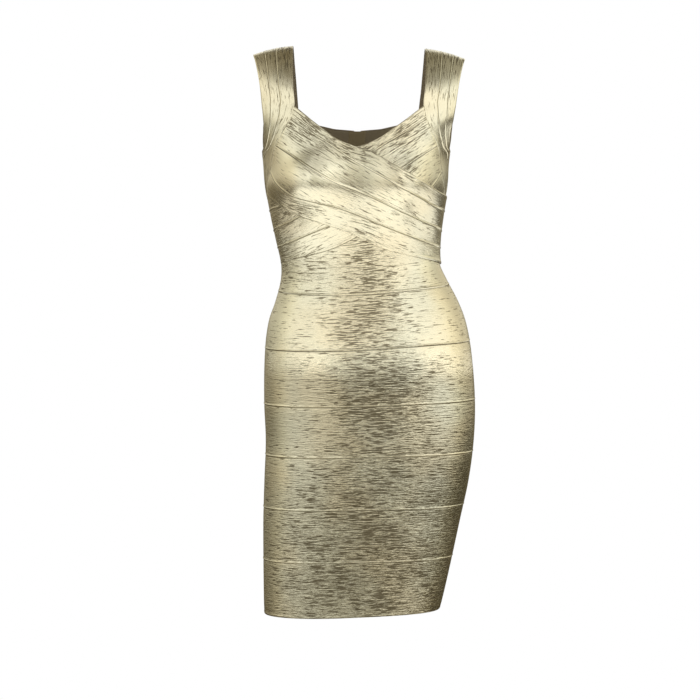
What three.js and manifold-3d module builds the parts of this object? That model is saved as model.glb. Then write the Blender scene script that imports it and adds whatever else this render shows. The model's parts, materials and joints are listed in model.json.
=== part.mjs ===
// A bodycon dress of knit bands, in the hollow form that it takes when it is worn.
// Millimetres, +Z up, the front towards -Y and the wearer's left towards +X.
// The origin lies midway between the shoulders, at the height where the straps rest on them.
import * as THREE from "three";
import { mergeVertices } from "three/addons/utils/BufferGeometryUtils.js";
import Module from "manifold-3d";

const wasm = await Module();
wasm.setup();

// Cloth
const WALL = 1.4; // thickness of the knit
const SEAM_GAP = 0.3; // between two pieces that are sewn edge to edge
const PINCH = 0.4; // how far the stitching draws a band's long edges in
const OVER_RISE = 2.5; // the upper layer of crossed bands lies this much further out
const RISE_KEEP = 12; // above the lower layer's edge, the upper layer stays risen for this height
const RISE_FADE = 14; // and comes down to the lower layer's level over this one
const TUCK = 6; // the band under the bust reaches this far below the crossed bands

// Zip
const SLOT_HALF = 5; // half the opening that the zip fills
const TAPE_HALF = 13;
const TAPE_WALL = 0.8;
const TAPE_GAP = 0.6; // between the tape and the cloth in front of it
const TEETH_HALF = 2.75;
const TEETH_PROUD = 0.8; // the teeth stand this far out of the cloth
const ZIP_TOP = -121;
const ZIP_END = -618.5; // just above the seam below the fourth band

// Angles round the body: 0 is the wearer's left side, a quarter turn the centre back.
const BACK = Math.PI / 2;
const RIGHT = Math.PI;
const FRONT = 1.5 * Math.PI;
const LEFT = 2 * Math.PI;
const SIDE_SEAM = 0.1; // the side seams lie this far behind the sides

// The general figure that the dress is cut for, from the shoulders down to the hem:
// sideways shift, half width, depth to the front and to the back, and squareness.
const FIGURE = [
  { z: -60, shift: 0, half: 172, front: 72, back: 93, square: 2.4 },
  { z: -100, shift: -1, half: 163, front: 88, back: 99, square: 2.4 },
  { z: -130, shift: -3, half: 152, front: 96, back: 101.5, square: 2.35 },
  { z: -160, shift: -4.6, half: 144, front: 101, back: 101.5, square: 2.3 },
  { z: -205, shift: -4.4, half: 140.5, front: 102, back: 97, square: 2.25 },
  { z: -250, shift: -4.2, half: 133, front: 96, back: 88, square: 2.2 },
  { z: -290, shift: -2.3, half: 126.3, front: 88, back: 81, square: 2.2 },
  { z: -325, shift: 1.9, half: 122.8, front: 84, back: 78, square: 2.2 },
  { z: -350, shift: 7.3, half: 128.3, front: 87, back: 82, square: 2.2 },
  { z: -383, shift: 11.9, half: 141, front: 93, back: 92, square: 2.2 },
  { z: -415, shift: 12.6, half: 152.5, front: 99, back: 104, square: 2.25 },
  { z: -460, shift: 14, half: 159.7, front: 104, back: 117, square: 2.3 },
  { z: -537, shift: 16.3, half: 163.5, front: 105, back: 124, square: 2.3 },
  { z: -600, shift: 16.6, half: 161.4, front: 106, back: 116, square: 2.35 },
  { z: -661, shift: 11.6, half: 158.6, front: 105, back: 104, square: 2.4 },
  { z: -723, shift: 4.1, half: 152.9, front: 101, back: 95, square: 2.4 },
  { z: -785, shift: -2.5, half: 146.3, front: 96, back: 88, square: 2.4 },
  { z: -847, shift: -9.2, half: 139, front: 90, back: 82, square: 2.4 },
  { z: -872, shift: -12.4, half: 135, front: 88, back: 80, square: 2.4 },
];
const CUP = { x: 88, z: -204, proud: 31, wide: 51, tall: 47 };

// The seams between the horizontal bands, from the waist down to the hem.
const BAND_SEAMS = [
  { right: -368.4, left: -357.6, front: -370, back: -361 },
  { right: -456.8, left: -444.4, front: -453.5, back: -450 },
  { right: -543.3, left: -535.8, front: -539.5, back: -539.5 },
  { right: -621.9, left: -616.4, front: -617, back: -619 },
  { right: -703.2, left: -698.6, front: -698, back: -701 },
  { right: -784.6, left: -779.2, front: -779, back: -782 },
  { right: -869.1, left: -861.3, front: -865, back: -865 },
];
const BACK_SEAMS = { lower: -278, upper: -193 }; // above the waist, on the back alone

// The edges of the crossed bands that start at the wearer's right strap. The last
// row of each is where it meets the left side seam.
const CROSS_EDGES = [
  [
    { x: -98.7, z: -84 },
    { x: -66.7, z: -109.6 },
    { x: -34.1, z: -133.8 },
    { x: -10.9, z: -144.2 },
    { x: 7.8, z: -149.9 },
    { x: 21.7, z: -154.5 },
    { x: 48.1, z: -170.8 },
    { x: 71.3, z: -184 },
    { x: 99.2, z: -200 },
    { x: 120.9, z: -214 },
    { side: LEFT, z: -225.5 },
  ],
  [
    { x: -104.6, z: -104.2 },
    { x: -76, z: -123.5 },
    { x: -45.9, z: -142.5 },
    { x: -18.1, z: -161.5 },
    { x: 12, z: -178.5 },
    { x: 41.4, z: -194.7 },
    { x: 65.1, z: -208.6 },
    { x: 92.8, z: -224.2 },
    { x: 112.5, z: -236.5 },
    { side: LEFT, z: -249 },
  ],
  [
    { x: -127.1, z: -144.5 },
    { x: -99.2, z: -162.3 },
    { x: -72.9, z: -180.2 },
    { x: -38, z: -199.5 },
    { x: -1.6, z: -213.5 },
    { x: 30.5, z: -227.4 },
    { x: 63.1, z: -243.2 },
    { x: 104.6, z: -264 },
    { side: LEFT, z: -280 },
  ],
  [
    { x: -135.6, z: -184 },
    { x: -120, z: -207 },
    { x: -101.2, z: -219.5 },
    { x: -64.6, z: -230 },
    { x: -28.1, z: -239.6 },
    { x: 2, z: -251 },
    { x: 30.5, z: -262.9 },
    { x: 61.2, z: -275.7 },
    { x: 109.6, z: -295.6 },
    { side: LEFT, z: -305 },
  ],
  [
    { x: -139.5, z: -222.7 },
    { x: -117, z: -239.2 },
    { x: -99.2, z: -248.5 },
    { x: -57.7, z: -262 },
    { x: -18.1, z: -275 },
    { x: 5.9, z: -286.4 },
    { x: 25.6, z: -295.6 },
    { x: 45.4, z: -303 },
    { x: 84.9, z: -313.4 },
    { x: 121.5, z: -323.5 },
    { side: LEFT, z: -328 },
  ],
];
// Where each of those edges leaves the strap, counted in rows of STRAP_ON_FIGURE.
const EDGE_STARTS = [6, 5, 3, 1, 0];

// The strap's lower half lies on the figure. Each row is a line across it, from the
// seam with the crossed bands to the side seam or the armhole.
const STRAP_ON_FIGURE = [
  { seamX: -139.5, seamZ: -219, side: RIGHT, edgeZ: -225 },
  { seamX: -135.6, seamZ: -184, side: RIGHT, edgeZ: -187 },
  { seamX: -131.9, seamZ: -158.6, side: RIGHT, edgeZ: -161 },
  { seamX: -127.1, seamZ: -144.5, edgeX: -147, edgeZ: -147 },
  { seamX: -117, seamZ: -125.9, edgeX: -145.5, edgeZ: -126 },
  { seamX: -104.6, seamZ: -104.2, edgeX: -147, edgeZ: -101 },
  { seamX: -98.7, seamZ: -84, edgeX: -149.5, edgeZ: -76 },
];
const STRAP_FOOT = 0.01; // the strap starts this far up its first row

// Its upper half goes over the shoulder: the neck edge and the armhole edge of each row.
const STRAP_OVER_SHOULDER = [
  { neck: [-100, -64, -58], arm: [-152, -40, -54] },
  { neck: [-101.5, -50, -34], arm: [-156, -29, -33] },
  { neck: [-102, -31, -11], arm: [-160, -15, -17] },
  { neck: [-102, -9, 4], arm: [-163, -2, -9] },
  { neck: [-101.5, 12, 7], arm: [-163.5, 10, -8] },
  { neck: [-101, 34, 0], arm: [-162, 23, -13] },
  { neck: [-100, 56, -19], arm: [-158.5, 37, -28] },
  { neck: [-98, 73, -46], arm: [-154, 48, -50] },
  { neck: [-96, 84, -76], arm: [-150, 53, -78] },
];
const STRAP_END = { neckX: -94, armX: -147, z: -103 }; // where it meets the back
const STRAP_CROWN = 2.5; // how far the strap bulges between its two edges
const SHOULDER_DROP = 0.02; // the left shoulder is lower, by this share of the distance across
const SHOULDER_FADE = -90; // at this height and below both sides are level
const STRAP_SPLITS = [0, 0.42, 0.71, 1]; // the strap's three bands, from the neck edge

// The back's upper edge, from the side seam round to the centre back.
const BACK_TOP = [
  { side: LEFT, z: -161 },
  { x: 142, z: -141 },
  { x: 144.2, z: -122 },
  { x: 145, z: -103.4 },
  { x: 91.4, z: -103.4 },
  { x: 62, z: -110.5 },
  { x: 30, z: -117.5 },
  { x: -2.5, z: -120 },
];

const FOIL = new THREE.MeshStandardMaterial({ color: 0xc9bf94, metalness: 0.8, roughness: 0.4 });
const TAPE = new THREE.MeshStandardMaterial({ color: 0x9a8a62, metalness: 0, roughness: 0.9 });
const METAL = new THREE.MeshStandardMaterial({ color: 0xc8a860, metalness: 1, roughness: 0.3 });

// Cubic interpolation of one column of a table, whose rows run downwards.
function column(rows, key, z) {
  const last = rows.length - 1;
  let k = 0;
  while (k < last - 1 && z < rows[k + 1].z) k += 1;
  const slope = (i) => {
    const a = rows[Math.max(i - 1, 0)];
    const b = rows[Math.min(i + 1, last)];
    return (b[key] - a[key]) / (b.z - a.z);
  };
  const [a, b] = [rows[k], rows[k + 1]];
  const h = b.z - a.z;
  const t = THREE.MathUtils.clamp((z - a.z) / h, 0, 1);
  const [t2, t3] = [t * t, t * t * t];
  return (
    (2 * t3 - 3 * t2 + 1) * a[key] +
    (t3 - 2 * t2 + t) * h * slope(k) +
    (3 * t2 - 2 * t3) * b[key] +
    (t3 - t2) * h * slope(k + 1)
  );
}

// The forward swell of the two cups, which fades out towards the sides.
function cups(x, z, angle) {
  const facing = Math.max(0, -Math.sin(angle));
  const one = (side) =>
    Math.exp(-(((x - side * CUP.x) / CUP.wide) ** 2) - ((z - CUP.z) / CUP.tall) ** 2);
  return CUP.proud * facing * (one(-1) + one(1));
}

// The point of the figure at an angle round it and a height.
function skin(angle, z) {
  const c = Math.cos(angle);
  const s = Math.sin(angle);
  const n = column(FIGURE, "square", z);
  const depth = column(FIGURE, s < 0 ? "front" : "back", z);
  const half = column(FIGURE, "half", z);
  const radius = (Math.abs(c / half) ** n + Math.abs(s / depth) ** n) ** (-1 / n);
  const x = radius * c;
  return new THREE.Vector3(x + column(FIGURE, "shift", z), radius * s - cups(x, z, angle), z);
}

function skinNormal(angle, z) {
  const across = skin(angle + 0.002, z).sub(skin(angle - 0.002, z));
  const up = skin(angle, z + 0.2).sub(skin(angle, z - 0.2));
  return across.cross(up).normalize();
}

function onFigure(angle, z, out) {
  return skin(angle, z).addScaledVector(skinNormal(angle, z), out);
}

// The angle at which the front or the back of the figure has a given x.
function angleOf(x, z, onFront) {
  let [low, high] = onFront ? [RIGHT, LEFT] : [0, RIGHT];
  for (let i = 0; i < 40; i += 1) {
    const middle = (low + high) / 2;
    const wider = skin(middle, z).x < x;
    if (wider === onFront) low = middle;
    else high = middle;
  }
  return (low + high) / 2;
}

function sideSeam(side) {
  return side === RIGHT ? RIGHT - SIDE_SEAM : LEFT + SIDE_SEAM;
}

// A smooth curve through the rows of a table on the front, as angle and height.
const ANGLE_MM = 120; // millimetres to a radian, so that both directions weigh alike
function curveThrough(rows) {
  const points = rows.map((row) => {
    const angle = row.side === undefined ? angleOf(row.x, row.z, true) : sideSeam(row.side);
    return new THREE.Vector3(angle * ANGLE_MM, row.z, 0);
  });
  const curve = new THREE.CatmullRomCurve3(points, false, "centripetal");
  return (u) => {
    const p = curve.getPointAt(THREE.MathUtils.clamp(u, 0, 1));
    return { angle: p.x / ANGLE_MM, z: p.y };
  };
}

// A curve's height at an angle, where its angle only grows or only falls.
function heightAt(curve, angle) {
  const rising = curve(1).angle > curve(0).angle;
  let [low, high] = [0, 1];
  for (let i = 0; i < 30; i += 1) {
    const middle = (low + high) / 2;
    if (curve(middle).angle < angle === rising) low = middle;
    else high = middle;
  }
  return curve((low + high) / 2).z;
}

function mirrored(curve) {
  return (u) => {
    const p = curve(u);
    return { angle: 2 * FRONT - p.angle, z: p.z };
  };
}

// A closed wall over a grid. pointAt takes the shares along and across it and whether
// the point is on the outer face.
function wall(name, material, alongShares, acrossShares, pointAt) {
  const positions = [];
  const [columns, rows] = [alongShares.length, acrossShares.length];
  for (const outer of [true, false])
    for (const u of alongShares)
      for (const v of acrossShares) positions.push(...pointAt(u, v, outer).toArray());
  const at = (outer, i, j) => (outer ? 0 : columns * rows) + i * rows + j;
  const faces = [];
  const quad = (a, b, c, d) => faces.push(a, b, c, a, c, d);
  for (let i = 0; i < columns - 1; i += 1)
    for (let j = 0; j < rows - 1; j += 1) {
      quad(at(true, i, j), at(true, i + 1, j), at(true, i + 1, j + 1), at(true, i, j + 1));
      quad(at(false, i, j), at(false, i, j + 1), at(false, i + 1, j + 1), at(false, i + 1, j));
    }
  const rim = (a, b) => quad(at(true, ...b), at(true, ...a), at(false, ...a), at(false, ...b));
  for (let i = 0; i < columns - 1; i += 1) {
    rim([i, 0], [i + 1, 0]);
    rim([i + 1, rows - 1], [i, rows - 1]);
  }
  for (let j = 0; j < rows - 1; j += 1) {
    rim([0, j + 1], [0, j]);
    rim([columns - 1, j], [columns - 1, j + 1]);
  }
  const geometry = new THREE.BufferGeometry();
  geometry.setAttribute("position", new THREE.Float32BufferAttribute(positions, 3));
  geometry.setIndex(faces);
  if (volumeOf(geometry) < 0) faces.reverse();
  geometry.setIndex(faces);
  geometry.computeVertexNormals();
  return named(name, geometry, material);
}

function volumeOf(geometry) {
  const corner = (i) =>
    new THREE.Vector3().fromBufferAttribute(geometry.attributes.position, geometry.index.getX(i));
  let sum = 0;
  for (let i = 0; i < geometry.index.count; i += 3)
    sum += corner(i).dot(corner(i + 1).cross(corner(i + 2)));
  return sum / 6;
}

function named(name, geometry, material) {
  const mesh = new THREE.Mesh(geometry, material);
  mesh.name = name;
  return mesh;
}

const mix = THREE.MathUtils.lerp;

function shares(count) {
  return Array.from({ length: count + 1 }, (_, i) => i / count);
}

// Shares across a band: close to its two long edges, and a count of equal steps between.
function across(steps, margin) {
  return [0, ...shares(steps).map((v) => mix(margin, 1 - margin, v)), 1];
}
const BAND_ACROSS = across(2, 0.08);
const CROSS_BAND_ACROSS = across(3, 0.08);
const TALL_BAND_ACROSS = across(8, 0.03);
const pinchAt = (v) => (v === 0 || v === 1 ? PINCH : 0);

// Horizontal bands
const LEVELS = BAND_SEAMS.map((seam) => (angle) => {
  const sides = (seam.left + seam.right) / 2;
  const middle = (seam.front + seam.back) / 2;
  return (
    (sides + middle) / 2 +
    ((seam.left - seam.right) / 2) * Math.cos(angle) +
    ((seam.back - seam.front) / 2) * Math.sin(angle) +
    ((sides - middle) / 2) * Math.cos(2 * angle)
  );
});

// A band between two side edges and two levels. The sides give an angle at a height,
// and the levels a height at an angle.
function band(name, sides, levels, columns, acrossShares = BAND_ACROSS) {
  const [from, to] = sides;
  const [topAt, bottomAt] = levels;
  const foot = bottomAt(BACK);
  return wall(name, FOIL, shares(columns), acrossShares, (u, v, outer) => {
    const near = mix(from(foot), to(foot), u);
    const z = mix(topAt(near) - SEAM_GAP / 2, bottomAt(near) + SEAM_GAP / 2, v);
    return onFigure(mix(from(z), to(z), u), z, outer ? -pinchAt(v) : -WALL);
  });
}

const HALF_GAP = SEAM_GAP / 2 / 140; // half a seam's gap at a side, as an angle
const FRONT_SIDES = [() => sideSeam(RIGHT) + HALF_GAP, () => sideSeam(LEFT) - HALF_GAP];

// The two sides of a back band, whose inner edge lies at a distance from the centre back.
function backSides(side, fromCentre) {
  const inner = (z) => BACK - side * Math.asin(fromCentre / column(FIGURE, "back", z));
  const outer = () => BACK - side * (BACK - SIDE_SEAM - HALF_GAP);
  return side > 0 ? [outer, inner] : [inner, outer];
}

// Crossed bands
const edges = CROSS_EDGES.map(curveThrough);
const mirroredEdges = edges.map(mirrored);
const underTop = mirroredEdges[0];

// How far out the upper layer lies: down beside the lower layer, up where it lies on it.
function riseAt(angle, z) {
  const above = z - heightAt(underTop, angle);
  return OVER_RISE * (1 - THREE.MathUtils.smoothstep(above, RISE_KEEP, RISE_KEEP + RISE_FADE));
}

// The seam between strap and crossed bands, counted in rows of STRAP_ON_FIGURE.
const seamCurve = new THREE.CatmullRomCurve3(
  STRAP_ON_FIGURE.map(
    (row) => new THREE.Vector3(angleOf(row.seamX, row.seamZ, true) * ANGLE_MM, row.seamZ, 0),
  ),
);
function strapSeam(row) {
  const p = seamCurve.getPoint(THREE.MathUtils.clamp(row / (STRAP_ON_FIGURE.length - 1), 0, 1));
  return { angle: p.x / ANGLE_MM, z: p.y };
}

// A crossed band lies between two edges. Near its start it is drawn to the strap's
// seam, and the lower set is the upper one mirrored.
const START_PULL = 6;
function crossBand(name, index, over) {
  const [top, bottom] = [edges[index], edges[index + 1]];
  const [startTop, startBottom] = [top(0), bottom(0)];
  return wall(name, FOIL, shares(26), CROSS_BAND_ACROSS, (u, v, outer) => {
    const [a, b] = [top(u), bottom(u)];
    const seam = strapSeam(mix(EDGE_STARTS[index], EDGE_STARTS[index + 1], v));
    const pull = Math.exp(-START_PULL * u);
    const angleGap = u === 0 ? 2 * HALF_GAP : u === 1 ? -HALF_GAP : 0;
    const edgeGap = (v === 0 ? -1 : v === 1 ? 1 : 0) * (SEAM_GAP / 2);
    const toSeam = pull * (seam.angle - mix(startTop.angle, startBottom.angle, v));
    const angle = mix(a.angle, b.angle, v) + toSeam + angleGap;
    const rise = pull * (seam.z - mix(startTop.z, startBottom.z, v));
    const z = mix(a.z, b.z, v) + rise + edgeGap;
    const out = (over ? riseAt(angle, z) : 0) + (outer ? -pinchAt(v) : -WALL);
    return onFigure(over ? angle : 2 * FRONT - angle, z, out);
  });
}

// Straps
const armCurve = new THREE.CatmullRomCurve3(
  STRAP_ON_FIGURE.map((row) => {
    const atSide = row.side !== undefined;
    const angle = atSide ? sideSeam(row.side) + HALF_GAP : angleOf(row.edgeX, row.edgeZ, true);
    return new THREE.Vector3(angle * ANGLE_MM, row.edgeZ, 0);
  }),
);
const ROWS_ON_FIGURE = STRAP_ON_FIGURE.length - 1;
const ROWS_IN_ALL = ROWS_ON_FIGURE + STRAP_OVER_SHOULDER.length + 1;

// A point of the right strap on one of its rows, at a share across it.
function strapRow(row, share) {
  if (row <= ROWS_ON_FIGURE) {
    const seam = strapSeam(row);
    const arm = armCurve.getPoint(row / ROWS_ON_FIGURE);
    const edge = Math.max(arm.x / ANGLE_MM, sideSeam(RIGHT) + HALF_GAP);
    const angle = mix(seam.angle - 2 * HALF_GAP, edge, share);
    return skin(angle, mix(seam.z, arm.y, share));
  }
  if (row === ROWS_IN_ALL) {
    const { neckX, armX, z } = STRAP_END;
    return skin(mix(angleOf(neckX, z, false), angleOf(armX, z, false), share), z);
  }
  const line = STRAP_OVER_SHOULDER[row - ROWS_ON_FIGURE - 1];
  const [neck, arm] = [new THREE.Vector3(...line.neck), new THREE.Vector3(...line.arm)];
  const out = new THREE.Vector3(-0.25, neck.y / 90, 1 - Math.abs(neck.y / 90)).normalize();
  return neck.lerp(arm, share).addScaledVector(out, STRAP_CROWN * 4 * share * (1 - share));
}

// The same between rows: on the figure as it is, and smoothed over the shoulder.
function strapPoint(along, share) {
  if (along <= ROWS_ON_FIGURE) return strapRow(along, share);
  const k = Math.min(Math.floor(along), ROWS_IN_ALL - 1);
  const [a, b, c, d] = [-1, 0, 1, 2].map((i) => strapRow(Math.min(k + i, ROWS_IN_ALL), share));
  const t = along - k;
  const blend = (p, q, r, s) =>
    q + 0.5 * t * (r - p + t * (2 * p - 5 * q + 4 * r - s + t * (3 * (q - r) + s - p)));
  return new THREE.Vector3(
    blend(a.x, b.x, c.x, d.x),
    blend(a.y, b.y, c.y, d.y),
    blend(a.z, b.z, c.z, d.z),
  );
}

const STRAP_ROWS = [
  ...shares(9).map((u) => mix(STRAP_FOOT, ROWS_ON_FIGURE, u)),
  ...shares(20).slice(1).map((u) => mix(ROWS_ON_FIGURE, ROWS_IN_ALL, u)),
];
const STRAP_ACROSS = [0, 0.2, 0.8, 1];

function strapBand(name, part, side) {
  const first = part === 0;
  const last = part === STRAP_SPLITS.length - 2;
  return wall(name, FOIL, STRAP_ROWS, STRAP_ACROSS, (along, v, outer) => {
    const width = strapPoint(along, 0).distanceTo(strapPoint(along, 1));
    const gap = SEAM_GAP / 2 / width;
    const low = STRAP_SPLITS[part] + (first ? 0 : gap);
    const high = STRAP_SPLITS[part + 1] - (last ? 0 : gap);
    const share = mix(low, high, v);
    const point = strapPoint(along, share);
    const across = strapPoint(along, share + 0.02).sub(strapPoint(along, share - 0.02));
    const up = strapPoint(Math.min(along + 0.05, ROWS_IN_ALL), share);
    up.sub(strapPoint(Math.max(along - 0.05, STRAP_FOOT), share));
    const normal = up.cross(across).normalize();
    point.addScaledVector(normal, outer ? -pinchAt(v) : -WALL);
    if (side === LEFT) point.x = 2 * column(FIGURE, "shift", point.z) - point.x;
    const raised = THREE.MathUtils.smoothstep(point.z, SHOULDER_FADE, 0);
    point.z -= SHOULDER_DROP * point.x * raised;
    return point;
  });
}

// Back
const BACK_TOP_ANGLES = BACK_TOP.map((row) =>
  row.side === undefined ? angleOf(row.x, row.z, false) : SIDE_SEAM + HALF_GAP,
);
const STEPS_BETWEEN = 2; // columns of the yoke to each row of BACK_TOP
const YOKE_COLUMNS = STEPS_BETWEEN * (BACK_TOP.length - 1);

function upperBack(name, side) {
  const [start, end] = [BACK_TOP_ANGLES[0], BACK_TOP_ANGLES.at(-1)];
  const [, zipEdge] = backSides(1, SLOT_HALF);
  return wall(name, FOIL, shares(YOKE_COLUMNS), BAND_ACROSS, (u, v, outer) => {
    const along = u * (BACK_TOP.length - 1);
    const k = Math.min(Math.floor(along), BACK_TOP.length - 2);
    const topAngle = mix(BACK_TOP_ANGLES[k], BACK_TOP_ANGLES[k + 1], along - k);
    const topZ = mix(BACK_TOP[k].z, BACK_TOP[k + 1].z, along - k);
    const progress = (topAngle - start) / (end - start);
    const z = mix(topZ, BACK_SEAMS.upper + SEAM_GAP / 2, v);
    const toZip = zipEdge(z);
    const angle = mix(start, toZip, mix(progress, (progress + u) / 2, v));
    return onFigure(side > 0 ? angle : Math.PI - angle, z, outer ? -pinchAt(v) : -WALL);
  });
}

// Zip
function zipStrip(name, material, half, inner, outer) {
  return wall(name, material, shares(30), [0, 1], (u, v, isOuter) => {
    const z = mix(ZIP_TOP, ZIP_END, u);
    const angle = BACK + Math.asin(mix(-half, half, v) / column(FIGURE, "back", z));
    return onFigure(angle, z, isOuter ? outer : inner);
  });
}

// three.js geometry as a solid, and back.
function solidOf(geometry) {
  const bare = geometry.index ? geometry.toNonIndexed() : geometry.clone();
  bare.deleteAttribute("normal");
  bare.deleteAttribute("uv");
  const merged = mergeVertices(bare, 1e-4);
  return new wasm.Manifold(
    new wasm.Mesh({
      numProp: 3,
      vertProperties: new Float32Array(merged.attributes.position.array),
      triVerts: new Uint32Array(merged.index.array),
    }),
  );
}

function geometryOf(solid) {
  const mesh = solid.getMesh();
  const geometry = new THREE.BufferGeometry();
  geometry.setAttribute("position", new THREE.BufferAttribute(mesh.vertProperties, 3));
  geometry.setIndex(new THREE.BufferAttribute(mesh.triVerts, 1));
  return geometry;
}

function box(x, y, z) {
  const [w, d, h] = [x[1] - x[0], y[1] - y[0], z[1] - z[0]];
  const made = new THREE.BoxGeometry(w, d, h);
  return made.translate((x[0] + x[1]) / 2, (y[0] + y[1]) / 2, (z[0] + z[1]) / 2);
}

// The slider, about the pull's hinge: x across the zip, y out of the cloth, z up along it.
const SLIDER = { z: -129, halfWide: 4.3, tall: 11, plateTop: 3.2, plateBottom: 1.2, foot: -1.1 };
const HINGE_OUT = 5.2; // the hinge's distance from the cloth's outer face
const BRIDGE = { inner: 1.4, outer: 2.4, halfWide: 1.1 };
const CHANNEL_HALF = TEETH_HALF + 0.4;

function sliderGeometry() {
  const [low, high] = [-SLIDER.tall / 2, SLIDER.tall / 2];
  const shape = new THREE.Shape();
  shape.moveTo(-SLIDER.halfWide + 0.6, low);
  shape.lineTo(SLIDER.halfWide - 0.6, low);
  shape.quadraticCurveTo(SLIDER.halfWide, 0, SLIDER.halfWide, high - 2);
  shape.quadraticCurveTo(SLIDER.halfWide, high, SLIDER.halfWide - 2, high);
  shape.lineTo(-SLIDER.halfWide + 2, high);
  shape.quadraticCurveTo(-SLIDER.halfWide, high, -SLIDER.halfWide, high - 2);
  shape.quadraticCurveTo(-SLIDER.halfWide, 0, -SLIDER.halfWide + 0.6, low);
  const depth = SLIDER.plateTop - SLIDER.foot;
  const body = new THREE.ExtrudeGeometry(shape, { depth, bevelEnabled: false, curveSegments: 4 });
  body.rotateX(Math.PI / 2).translate(0, SLIDER.plateTop, 0);
  const channel = box(
    [-CHANNEL_HALF, CHANNEL_HALF],
    [SLIDER.foot - 1, SLIDER.plateBottom],
    [low - 1, high + 1],
  );
  const legEnd = SLIDER.plateTop - HINGE_OUT - 0.5;
  const arch = new THREE.Shape();
  arch.moveTo(-BRIDGE.outer, legEnd);
  arch.lineTo(-BRIDGE.outer, 0);
  arch.absarc(0, 0, BRIDGE.outer, Math.PI, 0, true);
  arch.lineTo(BRIDGE.outer, legEnd);
  arch.lineTo(BRIDGE.inner, legEnd);
  arch.lineTo(BRIDGE.inner, 0);
  arch.absarc(0, 0, BRIDGE.inner, 0, Math.PI, false);
  arch.lineTo(-BRIDGE.inner, legEnd);
  const bridge = new THREE.ExtrudeGeometry(arch, {
    depth: 2 * BRIDGE.halfWide,
    bevelEnabled: false,
    curveSegments: 8,
  });
  bridge.rotateY(Math.PI / 2).translate(-BRIDGE.halfWide, HINGE_OUT, 0);
  return geometryOf(solidOf(body).subtract(solidOf(channel)).add(solidOf(bridge)));
}

const PULL = {
  halfWide: 3.3,
  halfThick: 0.6,
  barHalf: 0.6,
  windowHalf: 1.7,
  windowEnd: 3.4,
  length: 26,
};

function pullGeometry() {
  const shape = new THREE.Shape();
  shape.moveTo(-PULL.halfWide + 0.4, PULL.barHalf);
  shape.lineTo(-PULL.halfWide + 0.4, -PULL.windowEnd - 3);
  shape.lineTo(-PULL.halfWide, -PULL.length + PULL.halfWide);
  shape.absarc(0, -PULL.length + PULL.halfWide, PULL.halfWide, Math.PI, 2 * Math.PI, false);
  shape.lineTo(PULL.halfWide - 0.4, -PULL.windowEnd - 3);
  shape.lineTo(PULL.halfWide - 0.4, PULL.barHalf);
  const eye = new THREE.Path();
  eye.moveTo(-PULL.windowHalf, -PULL.barHalf);
  eye.lineTo(PULL.windowHalf, -PULL.barHalf);
  eye.lineTo(PULL.windowHalf, -PULL.windowEnd);
  eye.lineTo(-PULL.windowHalf, -PULL.windowEnd);
  shape.holes.push(eye);
  const tab = new THREE.ExtrudeGeometry(shape, {
    depth: 2 * PULL.halfThick,
    bevelEnabled: false,
    curveSegments: 10,
  });
  return tab.rotateX(Math.PI / 2).translate(0, PULL.halfThick, 0);
}

function zipHardware() {
  const foot = skin(BACK, SLIDER.z);
  const normal = skinNormal(BACK, SLIDER.z);
  const tilt = Math.atan2(normal.z, normal.y);
  const slider = named("zip_slider", sliderGeometry(), METAL);
  slider.position.copy(foot);
  slider.rotation.x = tilt;
  const pull = named("zip_pull", pullGeometry(), METAL);
  const outward = new THREE.Vector3(0, Math.cos(tilt), Math.sin(tilt));
  pull.position.copy(foot).addScaledVector(outward, HINGE_OUT);
  return [slider, pull];
}

const dress = new THREE.Group();

// The band under the bust is tucked under the upper crossed bands and meets the lower ones.
const underBust = (angle) =>
  Math.min(heightAt(edges[4], angle) + TUCK, heightAt(mirroredEdges[4], angle) - SEAM_GAP);

LEVELS.forEach((bottomAt, i) => {
  const above = LEVELS[i - 1];
  const [columns, acrossShares] = i === 0 ? [32, TALL_BAND_ACROSS] : [22, BAND_ACROSS];
  const frontLevels = [above ?? underBust, bottomAt];
  dress.add(band(`front_band_${i + 1}`, FRONT_SIDES, frontLevels, columns, acrossShares));
  const backTopAt = above ?? (() => BACK_SEAMS.lower);
  const zipped = (backTopAt(BACK) + bottomAt(BACK)) / 2 > ZIP_END;
  const fromCentre = zipped ? SLOT_HALF : SEAM_GAP / 2;
  const backLevels = [backTopAt, bottomAt];
  dress.add(band(`back_band_${i + 1}_left`, backSides(1, fromCentre), backLevels, 11));
  dress.add(band(`back_band_${i + 1}_right`, backSides(-1, fromCentre), backLevels, 11));
});
for (const [word, side] of [
  ["left", 1],
  ["right", -1],
]) {
  const levels = [() => BACK_SEAMS.upper, () => BACK_SEAMS.lower];
  dress.add(band(`back_band_upper_${word}`, backSides(side, SLOT_HALF), levels, 11));
  dress.add(upperBack(`back_yoke_${word}`, side));
}
for (let i = 0; i < EDGE_STARTS.length - 1; i += 1) {
  dress.add(crossBand(`cross_over_${i + 1}`, i, true));
  dress.add(crossBand(`cross_under_${i + 1}`, i, false));
}
["neck", "middle", "arm"].forEach((word, part) => {
  dress.add(strapBand(`strap_right_${word}`, part, RIGHT));
  dress.add(strapBand(`strap_left_${word}`, part, LEFT));
});
const tapeFace = -WALL - TAPE_GAP;
dress.add(zipStrip("zip_tape", TAPE, TAPE_HALF, tapeFace - TAPE_WALL, tapeFace));
dress.add(zipStrip("zip_teeth", METAL, TEETH_HALF, -WALL, TEETH_PROUD));
dress.add(...zipHardware());

export default dress;
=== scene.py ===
# %% [markdown]
# A bodycon dress of foil-printed knit bands
#
# The real dress is sewn from long bands of thick stretch knit, edge to edge. The bands
# run round the body below the bust, cross over each other on the bust, and climb over
# the shoulders as straps. A thin gold foil is pressed onto the outside, and it has
# cracked along each band into fine streaks. A metal zip closes the back.
#
# The script first loads the fixed model that gives every piece its place.

# %% Load the fixed model
import json
import math
from collections import namedtuple

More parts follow.
